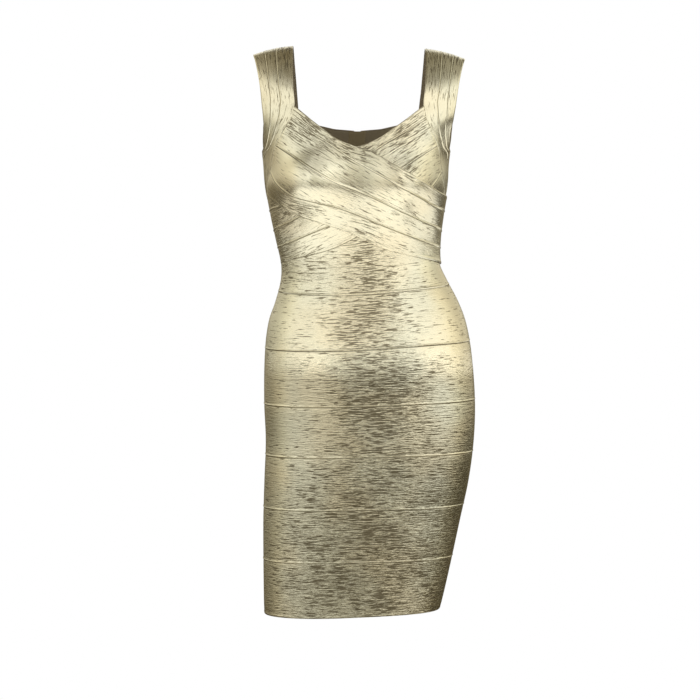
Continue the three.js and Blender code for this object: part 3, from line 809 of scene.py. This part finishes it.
def strap_band(name, part, side):
    low, high = STRAP_SPLITS[part], STRAP_SPLITS[part + 1]

    def place(u, v):
        rows = []
        for along, across in zip(u[:, 0], v):
            count = STRAP_FOOT + (ROWS_IN_ALL - STRAP_FOOT) * along
            ends = strap_points(count, np.array([0.0, 1.0]))
            gap = SEAM_GAP / 2 / np.linalg.norm(ends[1] - ends[0])
            start, end = low + gap * (low > 0), high - gap * (high < 1)
            rows.append(strap_points(count, start + (end - start) * across))
        return to_side(np.array(rows), side)

    x, y, z = UNDER_STRAP
    inside = (-x if side == RIGHT else x, y, z)
    top = "free" if part == 0 else "lapped"
    bottom = "free" if part == len(STRAP_SPLITS) - 2 else "lapping"
    return Band(name, place, inside, top, bottom)


for part, word in enumerate(("neck", "middle", "arm")):
    bands.append(strap_band(f"strap_right_{word}", part, RIGHT))
    bands.append(strap_band(f"strap_left_{word}", part, LEFT))

# %% Make every band
for band in bands:
    build_band(band)
print("bands made:", len(made_bands))

# %% [markdown]
# The zip
#
# The zip closes the upper back. Its tape is a woven strip behind the opening. The teeth
# are small bevelled blocks in two rows that lock into each other, laid along the curve
# of the back one by one. An array on a curve could space them, but laying them by the
# figure's own function keeps every tooth square to the cloth.

# %% Tape
ZIP_TOP = -121
TAPE_HALF, TAPE_WALL, TAPE_FACE = 13, 0.7, -2.0


def at_back(x, z, out):
    """A point at the centre back: x across the zip, z along it, out from the figure."""
    angle = BACK + np.arcsin(x / section_value("back", np.asarray(z, float)))
    return on_figure(angle, z, out)


across, down = np.meshgrid(np.linspace(-TAPE_HALF, TAPE_HALF, 9), np.linspace(ZIP_TOP, ZIP_END, 94))
tape_points = at_back(across, down, TAPE_FACE + 0 * across)
down_length = running_length(tape_points, 0)
tape = lay_sheet("zip_tape_woven", tape_points, down_length, across, {}, TAPE_WALL, -1)
print("tape in mm:", 2 * TAPE_HALF, "by", round(down_length.max()))
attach(tape, "dress")
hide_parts("zip_tape")

# %% Teeth
TOOTH_PITCH, TOOTH_TALL = 2.3, 1.25
TOOTH_INNER, TOOTH_OUTER = 0.7, 2.6
TOOTH_IN, TOOTH_OUT = -1.3, 0.7
STOP_TALL = 3.2


def block(bm, x, z, half_wide, half_tall):
    """A block that stands on the centre back, square to it."""
    middle = (TOOTH_IN + TOOTH_OUT) / 2
    place = at_back(x, z, np.array(middle))
    up = unit(at_back(x, z + 0.5, np.array(middle)) - at_back(x, z - 0.5, np.array(middle)))
    out = unit(at_back(x, z, np.array(1.0)) - at_back(x, z, np.array(0.0)))
    side = np.cross(out, up)
    turn = Matrix([side, out, np.cross(side, out)]).transposed().to_4x4()
    size = (2 * half_wide, TOOTH_OUT - TOOTH_IN, 2 * half_tall, 1)
    move = Matrix.Translation(Vector(place) * MM)
    bmesh.ops.create_cube(bm, size=MM, matrix=move @ turn @ Matrix.Diagonal(size))


bm = bmesh.new()
half_wide = (TOOTH_OUTER + TOOTH_INNER) / 2
for k, z in enumerate(np.arange(ZIP_TOP - STOP_TALL - 1, ZIP_END + STOP_TALL, -TOOTH_PITCH / 2)):
    side = 1 if k % 2 else -1
    block(bm, side * (TOOTH_OUTER - TOOTH_INNER) / 2, z, half_wide, TOOTH_TALL / 2)
for side in (-1, 1):
    block(bm, side * half_wide, ZIP_TOP - STOP_TALL / 2, half_wide - 0.3, STOP_TALL / 2)
block(bm, 0, ZIP_END + STOP_TALL / 2, TOOTH_OUTER, STOP_TALL / 2)
bmesh.ops.bevel(
    bm,
    geom=bm.edges[:],
    offset=0.18 * MM,
    offset_type="OFFSET",
    segments=1,
    profile=0.5,
    affect="EDGES",
    material=-1,
)
print("teeth:", k + 1, "faces:", len(bm.faces))
teeth = new_piece("zip_teeth_cast", bm)
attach(teeth, "dress")
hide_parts("zip_teeth")

# %% [markdown]
# The slider and its pull
#
# The fixed model already has the true form of these two small castings, so they aren't
# modelled again. Each is copied, its loose triangles are joined into flat faces, and its
# sharp edges are rounded. The pull swings on its own body, so it rides on that one.


# %% Slider and pull
def softened(node, body, width):
    """A copy of a metal piece with its flat faces joined and its edges rounded."""
    bm = bmesh.new()
    bm.from_mesh(frame["nodes"][node].data)
    bmesh.ops.remove_doubles(bm, verts=bm.verts, dist=0.01 * MM)
    bmesh.ops.dissolve_limit(bm, angle_limit=math.radians(1), verts=bm.verts, edges=bm.edges)
    piece = new_piece(f"{node}_cast", bm)
    round_edges(piece, width, 3, 40)
    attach(piece, body)
    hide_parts(node)
    return piece


slider = softened("zip_slider", "dress", 0.3)
pull = softened("zip_pull", "zip_pull", 0.25)
print("faces of slider and pull:", len(slider.data.polygons), len(pull.data.polygons))

# %% [markdown]
# Stitches beside the zip
#
# The bands' ends are sewn to the tape, and the thread shows as a row of short stitches
# on each side of the opening. Each is a small stretched sphere, sunk into the knit by
# half its thickness, as a pulled thread would be.

# %% Stitches
STITCH_FROM_CENTRE, STITCH_PITCH = 8.2, 3.4
STITCH_LONG, STITCH_THICK, STITCH_OUT = 2.5, 0.55, 0.05

bm = bmesh.new()
stitch_heights = np.arange(ZIP_TOP - 4, ZIP_END + 2, -STITCH_PITCH)
for side in (-1, 1):
    for z in stitch_heights:
        x = side * STITCH_FROM_CENTRE
        place = at_back(x, z, np.array(STITCH_OUT))
        up = Vector(unit(at_back(x, z + 0.5, np.array(0.0)) - at_back(x, z - 0.5, np.array(0.0))))
        turn = up.to_track_quat("Z", "Y").to_matrix().to_4x4()
        size = Matrix.Diagonal((STITCH_THICK, STITCH_THICK, STITCH_LONG, 1))
        move = Matrix.Translation(Vector(place) * MM)
        bmesh.ops.create_uvsphere(
            bm, u_segments=8, v_segments=6, radius=MM / 2, matrix=move @ turn @ size
        )
for face in bm.faces:
    face.smooth = True
stitches = new_piece("zip_stitches", bm)
print("stitches:", 2 * len(stitch_heights))
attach(stitches, "dress")

# %% [markdown]
# Shader helpers
#
# A material is a small tree of nodes. One helper adds a node and fills its inputs, and
# another makes a node group with named sockets, because the knit inside and the woven
# tape both show rows of thread.


# %% Node helpers
def plug(tree, value, socket):
    """Links another node's output to a socket, or gives the socket a plain value."""
    if isinstance(value, bpy.types.NodeSocket):
        tree.links.new(value, socket)
    else:
        socket.default_value = value


def add(tree, kind, inputs=None, **settings):
    made = tree.nodes.new(kind)
    for key, value in settings.items():
        setattr(made, key, value)
    for key, value in (inputs or {}).items():
        plug(tree, value, made.inputs[key])
    return made


def new_group(name, inputs, outputs):
    group = bpy.data.node_groups.new(name, "ShaderNodeTree")
    for socket_name, kind in inputs:
        group.interface.new_socket(socket_name, in_out="INPUT", socket_type=kind)
    for socket_name, kind in outputs:
        group.interface.new_socket(socket_name, in_out="OUTPUT", socket_type=kind)
    return group, group.nodes.new("NodeGroupInput"), group.nodes.new("NodeGroupOutput")


def ramp(tree, value, low, high, to_low=0.0, to_high=1.0):
    """A value that goes smoothly from to_low to to_high while another goes from low to high."""
    inputs = {"Value": value, "From Min": low, "From Max": high}
    inputs |= {"To Min": to_low, "To Max": to_high}
    return add(tree, "ShaderNodeMapRange", inputs, interpolation_type="SMOOTHSTEP").outputs["Result"]


def blend(tree, factor, a, b):
    # A Mix node has more sockets of one name, so colours are reached by number.
    inputs = {0: factor, 6: a, 7: b}
    return add(tree, "ShaderNodeMix", inputs, data_type="RGBA").outputs[2]


def maths(tree, operation, a, b, *more):
    """Two values joined by an operation, then each further value joined to the result."""
    result = add(tree, "ShaderNodeMath", {0: a, 1: b}, operation=operation).outputs[0]
    return maths(tree, operation, result, *more) if more else result


# %% Helpers for materials
def noise(tree, place, scale, detail):
    inputs = {"Vector": place, "Scale": scale, "Detail": detail}
    return add(tree, "ShaderNodeTexNoise", inputs).outputs[0]


def mark(tree, name):
    """A value that a mesh keeps at each of its points."""
    return add(tree, "ShaderNodeAttribute", attribute_name=name).outputs["Fac"]


def cut_map(tree):
    """The UV map of a sheet, in metres along and across it."""
    return add(tree, "ShaderNodeUVMap", uv_map="cut").outputs[0]


def new_material(name):
    material = bpy.data.materials.new(name)
    material.use_nodes = True
    tree = material.node_tree
    tree.nodes.clear()
    return material, tree


def surface(tree, inputs):
    shader = add(tree, "ShaderNodeBsdfPrincipled", inputs)
    tree.links.new(shader.outputs[0], add(tree, "ShaderNodeOutputMaterial").inputs[0])


FLOAT, VECTOR = "NodeSocketFloat", "NodeSocketVector"

# %% [markdown]
# Streaks
#
# The streaks run along each band, so they read the band's own UV map, which counts in
# metres along and across it. Noise that is squeezed hard in one direction gives long
# thin marks. The foil uses it at two sizes: broad marks that show from a step away, and
# fine ones that only break up the shine.


# %% Streak marks
def streak_marks(tree, cut, along, across):
    """Long thin marks, with so many to the metre along and across a band."""
    place = add(tree, "ShaderNodeVectorMath", {0: cut, 1: (along, across, 1)}, operation="MULTIPLY")
    inputs = {
        "Vector": place.outputs[0],
        "Scale": 1.0,
        "Detail": 2.0,
        "Roughness": 0.6,
        "Distortion": 0.35,
    }
    return add(tree, "ShaderNodeTexNoise", inputs).outputs[0]


# %% [markdown]
# Foil
#
# The foil is a thin metal layer, so its colour comes from its reflections. It is pale
# gold, a little greener in places. Where it is rubbed it has cracked, and the duller
# knit shows in thin dark lines. The rubbed places are also where shade falls, so these
# dark lines partly paint that shade. The roll at a seam stays whole, and the groove
# beside it is painted dark as shade. The ridges of the mesh carry the coarse streaks,
# and a bump adds the finer ones, which could be modelled too but would need a point for
# every thread.

# %% Foil material
GOLD = (0.87, 0.825, 0.655, 1)
GREEN_GOLD = (0.78, 0.80, 0.67, 1)
WARM_GOLD = (0.87, 0.79, 0.575, 1)
# The knit's brown in the cracks, which also serves as painted shade in the grooves and the shaded
# spots.
CRACK_AND_SHADE = (0.16, 0.13, 0.075, 1)
BROAD_STREAKS, FINE_STREAKS = (54, 600), (97, 1100)  # to the metre, along and across
CRACK_NONE, CRACK_FULL = 0.355, 0.305  # heights of the streaks between which foil gives way
# The share from the spots of wear also paints shade.
PATCH_WEAR, RUBBED_WEAR_AND_SHADE = 0.065, 0.155  # how far wear raises those heights
RIDGE_KEEPS, FINE_SHARE, CRACK_AND_SHADE_DARK = 0.07, 0.2, 0.86
BUMP_SMOOTH, BUMP_RUBBED, BUMP_DEEP = 0.4, 1.3, 0.0011


def foil_material():
    material, tree = new_material("gold_foil")
    cut = cut_map(tree)
    broad = streak_marks(tree, cut, *BROAD_STREAKS)
    fine = streak_marks(tree, cut, *FINE_STREAKS)
    where = add(tree, "ShaderNodeTexCoord").outputs["Object"]
    tint, wear = noise(tree, where, 9.0, 2.0), noise(tree, where, 21.0, 3.0)
    edge, rubbed_and_shaded = mark(tree, "edge"), mark(tree, "worn_and_shaded")

    # The foil gives way where its streaks are low, and sooner where it is worn; the spots of wear also
    # paint shade there.
    depth = maths(tree, "ADD", broad, maths(tree, "MULTIPLY", mark(tree, "ridge"), RIDGE_KEEPS))
    worn_and_shaded = maths(tree, "MULTIPLY", ramp(tree, wear, 0.36, 0.66), PATCH_WEAR)
    worn_and_shaded = maths(tree, "ADD", worn_and_shaded, maths(tree, "MULTIPLY", rubbed_and_shaded, RUBBED_WEAR_AND_SHADE))
    crack_and_shade = ramp(tree, maths(tree, "SUBTRACT", depth, worn_and_shaded), CRACK_NONE, CRACK_FULL)
    crack_and_shade = maths(tree, "MULTIPLY", crack_and_shade, ramp(tree, edge, 0.6, 0.0))
    # The groove beside a seam gets the knit's dark colour as painted shade.
    crack_and_shade = maths(tree, "MAXIMUM", crack_and_shade, ramp(tree, edge, -0.1, -0.7))

    colour = blend(tree, ramp(tree, tint, 0.35, 0.65), WARM_GOLD, GREEN_GOLD)
    colour = blend(tree, 0.5, colour, GOLD)
    # Cracks and painted shade pull the colour towards the knit's brown.
    colour = blend(tree, maths(tree, "MULTIPLY", crack_and_shade, CRACK_AND_SHADE_DARK), colour, CRACK_AND_SHADE)

    height = maths(tree, "ADD", broad, maths(tree, "MULTIPLY", fine, FINE_SHARE))
    rough = ramp(tree, rubbed_and_shaded, 0.0, 0.8, BUMP_SMOOTH, BUMP_RUBBED)
    strength = maths(tree, "MULTIPLY", mark(tree, "bump"), rough)
    bump = add(tree, "ShaderNodeBump", {"Height": height, "Strength": strength, "Distance": BUMP_DEEP})
    inputs = {
        "Base Color": colour,
        "Metallic": ramp(tree, crack_and_shade, 0, 1, 0.97, 0.85),
        "Roughness": ramp(tree, crack_and_shade, 0, 1, 0.25, 0.45),
        "Normal": bump.outputs[0],
    }
    surface(tree, inputs)
    return material


# %% [markdown]
# Rows of thread
#
# The inside of the knit and the tape of the zip are both rows of thread. A wave texture
# gives the rows, and a bump from it gives their relief. They share one node group, each
# with its own spacing. The rows of the tape run at a slant, as twill does, so its place
# is turned before it goes in.

# %% Group for rows of thread
threads, group_in, group_out = new_group(
    "rows_of_thread",
    [("Place", VECTOR), ("Fineness", FLOAT), ("Waver", FLOAT), ("Relief", FLOAT)],
    [("Rows", FLOAT), ("Normal", VECTOR)],
)
rows = add(threads, "ShaderNodeTexWave", {"Vector": group_in.outputs["Place"]}, bands_direction="Y")
threads.links.new(group_in.outputs["Fineness"], rows.inputs["Scale"])
threads.links.new(group_in.outputs["Waver"], rows.inputs["Distortion"])
relief = {"Height": rows.outputs[1], "Strength": 0.45, "Distance": group_in.outputs["Relief"]}
threads.links.new(rows.outputs[1], group_out.inputs["Rows"])
threads.links.new(add(threads, "ShaderNodeBump", relief).outputs[0], group_out.inputs["Normal"])


def thread_rows(tree, place, fineness, waver, relief):
    inputs = {"Place": place, "Fineness": fineness, "Waver": waver, "Relief": relief}
    made = add(tree, "ShaderNodeGroup", inputs, node_tree=threads)
    return made.outputs["Rows"], made.outputs["Normal"]


# %% Knit inside
KNIT = (0.36, 0.30, 0.20, 1)
KNIT_DARK = (0.20, 0.165, 0.11, 1)


def knit_material():
    material, tree = new_material("knit_inside")
    cut = cut_map(tree)
    rows, normal = thread_rows(tree, cut, 260.0, 1.2, 0.0005)
    loops = noise(tree, cut, 900.0, 2.0)
    fleck = blend(tree, rows, KNIT_DARK, KNIT)
    colour = blend(tree, ramp(tree, loops, 0.3, 0.7, 0.0, 0.5), fleck, KNIT_DARK)
    inputs = {"Base Color": colour, "Roughness": 0.88, "Normal": normal, "Sheen Weight": 0.25}
    surface(tree, inputs)
    return material


foil, knit = foil_material(), knit_material()
for piece in made_bands:
    piece.data.materials.append(foil)
    piece.data.materials.append(knit)
print("pieces with foil outside and knit inside:", len(made_bands))


# %% [markdown]
# Woven tape and brass
#
# The tape and the thread are plain matt cotton in a brown that suits the foil. Teeth,
# slider and pull are brass, which is a metal with one colour and a roughness that
# changes a little where fingers have rubbed it.

# %% Tape, thread and zip metal
TAPE_BROWN = (0.33, 0.27, 0.16, 1)
TAPE_SHADE = (0.22, 0.175, 0.10, 1)
BRASS = (0.78, 0.62, 0.34, 1)
TWILL_SLANT = math.radians(40)


def woven_material():
    material, tree = new_material("woven_tape")
    turned = {"Vector": cut_map(tree), "Rotation": (0, 0, TWILL_SLANT)}
    slant = add(tree, "ShaderNodeMapping", turned)
    rows, normal = thread_rows(tree, slant.outputs[0], 420.0, 0.4, 0.0004)
    colour = blend(tree, rows, TAPE_SHADE, TAPE_BROWN)
    surface(tree, {"Base Color": colour, "Roughness": 0.85, "Normal": normal})
    return material


def metal_material():
    material, tree = new_material("zip_brass")
    where = add(tree, "ShaderNodeTexCoord").outputs["Object"]
    polish = ramp(tree, noise(tree, where, 900.0, 3.0), 0.3, 0.7, 0.2, 0.38)
    surface(tree, {"Base Color": BRASS, "Metallic": 1.0, "Roughness": polish})
    return material


woven = woven_material()
tape.data.materials.append(woven)
stitches.data.materials.append(woven)
brass = metal_material()
for piece in (teeth, slider, pull):
    piece.data.materials.append(brass)
print("materials:", foil.name, knit.name, woven.name, brass.name)

# %% [markdown]
# The camera
#
# The dress is seen from the front and slightly above, from far enough away that its
# sides stay parallel. The camera aims at the middle of the picture, and its lens
# follows from the width of the picture at the dress.

# %% Camera
VIEW_WIDTH = 1.085
VIEW_DISTANCE = 4.5
VIEW_ELEVATION = math.radians(3.7)
VIEW_TARGET = Vector((-0.014, 0, -0.460))
SENSOR = 36

camera_data = bpy.data.cameras.new("camera")
camera_data.sensor_width = SENSOR
camera_data.lens = SENSOR * VIEW_DISTANCE / VIEW_WIDTH
camera = bpy.data.objects.new("camera", camera_data)
back = Vector((0, -math.cos(VIEW_ELEVATION), math.sin(VIEW_ELEVATION)))
camera.location = VIEW_TARGET + VIEW_DISTANCE * back
camera.rotation_euler = (-back).to_track_quat("-Z", "Y").to_euler()
bpy.context.scene.collection.objects.link(camera)
bpy.context.scene.camera = camera
print("lens in mm:", round(camera_data.lens))

# %% [markdown]
# Studio light
#
# Foil shows what stands around it. Lamps alone would leave hard bright shapes in it, so
# most of the light is the room itself, which comes next. Two lamps above are caught by
# the ridges of the foil. Three cards at the height of the waist face up and light the
# bust from below. They are hidden from the camera, but the foil still mirrors them.


# %% Lamps and cards
def area_light(name, place, target, width, height, power, colour=(1, 1, 1)):
    data = bpy.data.lights.new(name, "AREA")
    data.shape = "RECTANGLE"
    data.size, data.size_y = width, height
    data.energy = power
    data.color = colour
    light = bpy.data.objects.new(name, data)
    light.location = place
    aim = Vector(target) - Vector(place)
    light.rotation_euler = aim.to_track_quat("-Z", "Y").to_euler()
    bpy.context.scene.collection.objects.link(light)
    print(f"{name}: {width} by {height} m, {power} W")
    return light


MIDDLE = (0, 0, -0.45)
CARD_Z = -0.50
WARM_WHITE = (1, 0.975, 0.91)


def lit_card(name, x, y, width, depth, power):
    target = (x, y, CARD_Z + 1)
    light = area_light(name, (x, y, CARD_Z), target, width, depth, power, WARM_WHITE)
    light.visible_camera = False


area_light("above", (0, -2.4, 1.7), MIDDLE, 3.2, 2.4, 9)
area_light("above_back", (0, 2.6, 1.3), MIDDLE, 2.6, 1.8, 9)
lit_card("front_card", 0.1, -0.71, 2.2, 1.04, 8)
lit_card("right_card", 0.85, 0.16, 1.1, 0.68, 2.4)
lit_card("left_card", -0.52, -0.05, 0.36, 0.6, 0.45)

# %% [markdown]
# The room
#
# A picture of a real room could stand around the dress. Here the room is painted by
# direction instead, which is easy to read and to change: X is the side, Y the depth and
# Z the height of a line from the dress to a wall, each from -1 to 1, with -1 in Y for the
# front. Two pale side walls make the two pale columns down the skirt, and the dusky front
# wall between them leaves the middle darker. The left wall is weaker, with a dip at the
# height of the dress. Both turn amber towards the back and end before the ceiling, and
# the floor is dark, most of all at the right, so the hem and the right edge of the skirt
# are darker too. Each mask in the table fades along one axis. Masks are multiplied where
# all must hold, and compared where the strongest counts.

# %% Masks of the room
Fade = namedtuple("Fade", "axis start end at_start at_end", defaults=(0.0, 1.0))
FADES = {
    "left_half": Fade("X", 0.1, -0.1),
    "right_half": Fade("X", -0.1, 0.1),
    "left_wall_low": Fade("Z", -0.29, -0.12, 0.0, 0.48),
    "left_wall_high": Fade("Z", 0.08, 0.28, 0.0, 0.36),
    "left_dip_foot": Fade("Z", -0.10, -0.04, 0.0, 0.20),
    "left_dip_top": Fade("Z", 0.16, 0.06),
    "right_wall": Fade("Z", -0.24, 0.03),
    "behind": Fade("Y", -0.25, 0.55),
    "low_behind": Fade("Z", 0.0, -0.14),
    "overhead": Fade("Z", 0.38, 0.72, 0.0, 0.8),
    "shadow_top": Fade("Z", -0.04, -0.09),
    "shadow_foot": Fade("Z", -0.34, -0.26),
    "low_top": Fade("Z", 0.02, -0.1),
    "low_foot": Fade("Z", -0.48, -0.36),
    "right_corner": Fade("X", 0.35, 0.75),
    "hem_level": Fade("Z", -0.12, -0.22, 0.0, 0.8),
    "front_foot": Fade("Z", -0.10, 0.08),
    "front_top": Fade("Z", 0.8, 0.5),
    "front_middle": Fade("Z", 0.10, 0.28, 1.0, 0.7),
    "front_depth": Fade("Y", 0.1, -0.3, 0.5, 1.0),
    "warm_depth": Fade("Y", -0.5, 0.05),
}

world = bpy.data.worlds.new("studio")
world.use_nodes = True
room = world.node_tree
room.nodes.clear()
direction = add(room, "ShaderNodeTexCoord").outputs["Generated"]
parts = add(room, "ShaderNodeSeparateXYZ", {0: direction}).outputs
mask = {name: ramp(room, parts[fade.axis], *fade[1:]) for name, fade in FADES.items()}
print("masks of the room:", len(mask))


# %% The pale side walls
def times(*values):
    return maths(room, "MULTIPLY", *values)


def strongest(*values):
    return maths(room, "MAXIMUM", *values)


def less(a, b):
    return maths(room, "SUBTRACT", a, b)


# The left wall starts at a fixed side, and the right wall's edge leans with the height.
LEFT_SIDE, RIGHT_SIDE, RIGHT_LEAN = 0.32, 0.50, 1.1
RIGHT_LOW, RIGHT_HIGH = 0.20, 0.78
SIDE_START, SIDE_END = -0.06, 0.08
BEHIND_LOST = 0.64
SHADOW_SLANT, SHADOW_START, SHADOW_END = 2.2, -0.06, 0.14

lean = less(RIGHT_SIDE, times(parts["Z"], RIGHT_LEAN))
right_edge = maths(room, "MINIMUM", strongest(lean, RIGHT_LOW), RIGHT_HIGH)
past_right = less(parts["X"], right_edge)
past_left = less(times(parts["X"], -1.0), LEFT_SIDE)
aside = ramp(room, strongest(past_right, past_left), SIDE_START, SIDE_END)

left_dip = times(mask["left_dip_foot"], mask["left_dip_top"])
left_wall = less(maths(room, "ADD", mask["left_wall_low"], mask["left_wall_high"]), left_dip)
left_wall = times(mask["left_half"], left_wall)
right_wall = times(mask["right_half"], mask["right_wall"])

slant = ramp(room, less(parts["Y"], times(parts["Z"], SHADOW_SLANT)), SHADOW_START, SHADOW_END)
right_shadow = times(slant, mask["shadow_top"], mask["shadow_foot"], mask["right_half"])
low_behind = times(mask["behind"], mask["low_behind"])
far = times(mask["behind"], BEHIND_LOST)
lost = strongest(far, mask["overhead"], low_behind, right_shadow)
pale = times(aside, maths(room, "ADD", left_wall, right_wall), less(1.0, lost))

# %% The front wall, the floor and the white paper
DARK = (0.125, 0.10, 0.055, 1)  # the floor and whatever no wall lights
BRIGHT = (1.20, 1.17, 1.07, 1)  # the side walls
AMBER = (1.17, 1.09, 0.86, 1)  # the side walls towards the back
DUSK = (0.80, 0.755, 0.63, 1)  # the front wall
OLIVE = (0.05, 0.04, 0.02, 1)  # the darkest corner of the floor
WHITE = (1, 1, 1, 1)

low = times(mask["low_top"], mask["low_foot"])
corner = times(strongest(mask["right_corner"], mask["hem_level"]), low)
front = times(mask["front_foot"], mask["front_top"], mask["front_middle"], mask["front_depth"])
shade = blend(room, corner, blend(room, front, DARK, DUSK), OLIVE)
walls = blend(room, pale, shade, blend(room, mask["warm_depth"], BRIGHT, AMBER))
mirrored = add(room, "ShaderNodeBackground", {"Color": walls, "Strength": 1.0})
paper = add(room, "ShaderNodeBackground", {"Color": WHITE, "Strength": 1.0})
seen = add(room, "ShaderNodeLightPath").outputs["Is Camera Ray"]
mixed = add(room, "ShaderNodeMixShader", {0: seen, 1: mirrored.outputs[0], 2: paper.outputs[0]})
room.links.new(mixed.outputs[0], add(room, "ShaderNodeOutputWorld").inputs[0])
bpy.context.scene.world = world
bpy.context.scene.view_settings.view_transform = "Standard"

# %% [markdown]
# The floor
#
# The dress is held up well above the floor, so only a pale disc stands below it. It
# glows towards the camera alone, which hides its edge on the white paper.

# %% Floor
FLOOR_Z, FLOOR_RADIUS = -1.55, 0.9
FLOOR_WHITE, FLOOR_GLOW = (0.86, 0.86, 0.85, 1), (1, 0.99, 0.96, 1)

bm = bmesh.new()
bmesh.ops.create_circle(bm, cap_ends=True, segments=96, radius=FLOOR_RADIUS)
floor = new_piece("floor", bm)
floor.data.transform(Matrix.Translation((0, 0, FLOOR_Z)))
material, tree = new_material("pale_floor")
seen = add(tree, "ShaderNodeLightPath").outputs["Is Camera Ray"]
inputs = {"Base Color": FLOOR_WHITE, "Roughness": 0.8}
inputs |= {"Emission Color": FLOOR_GLOW, "Emission Strength": seen}
surface(tree, inputs)
floor.data.materials.append(material)
print("floor at height", FLOOR_Z, "m")
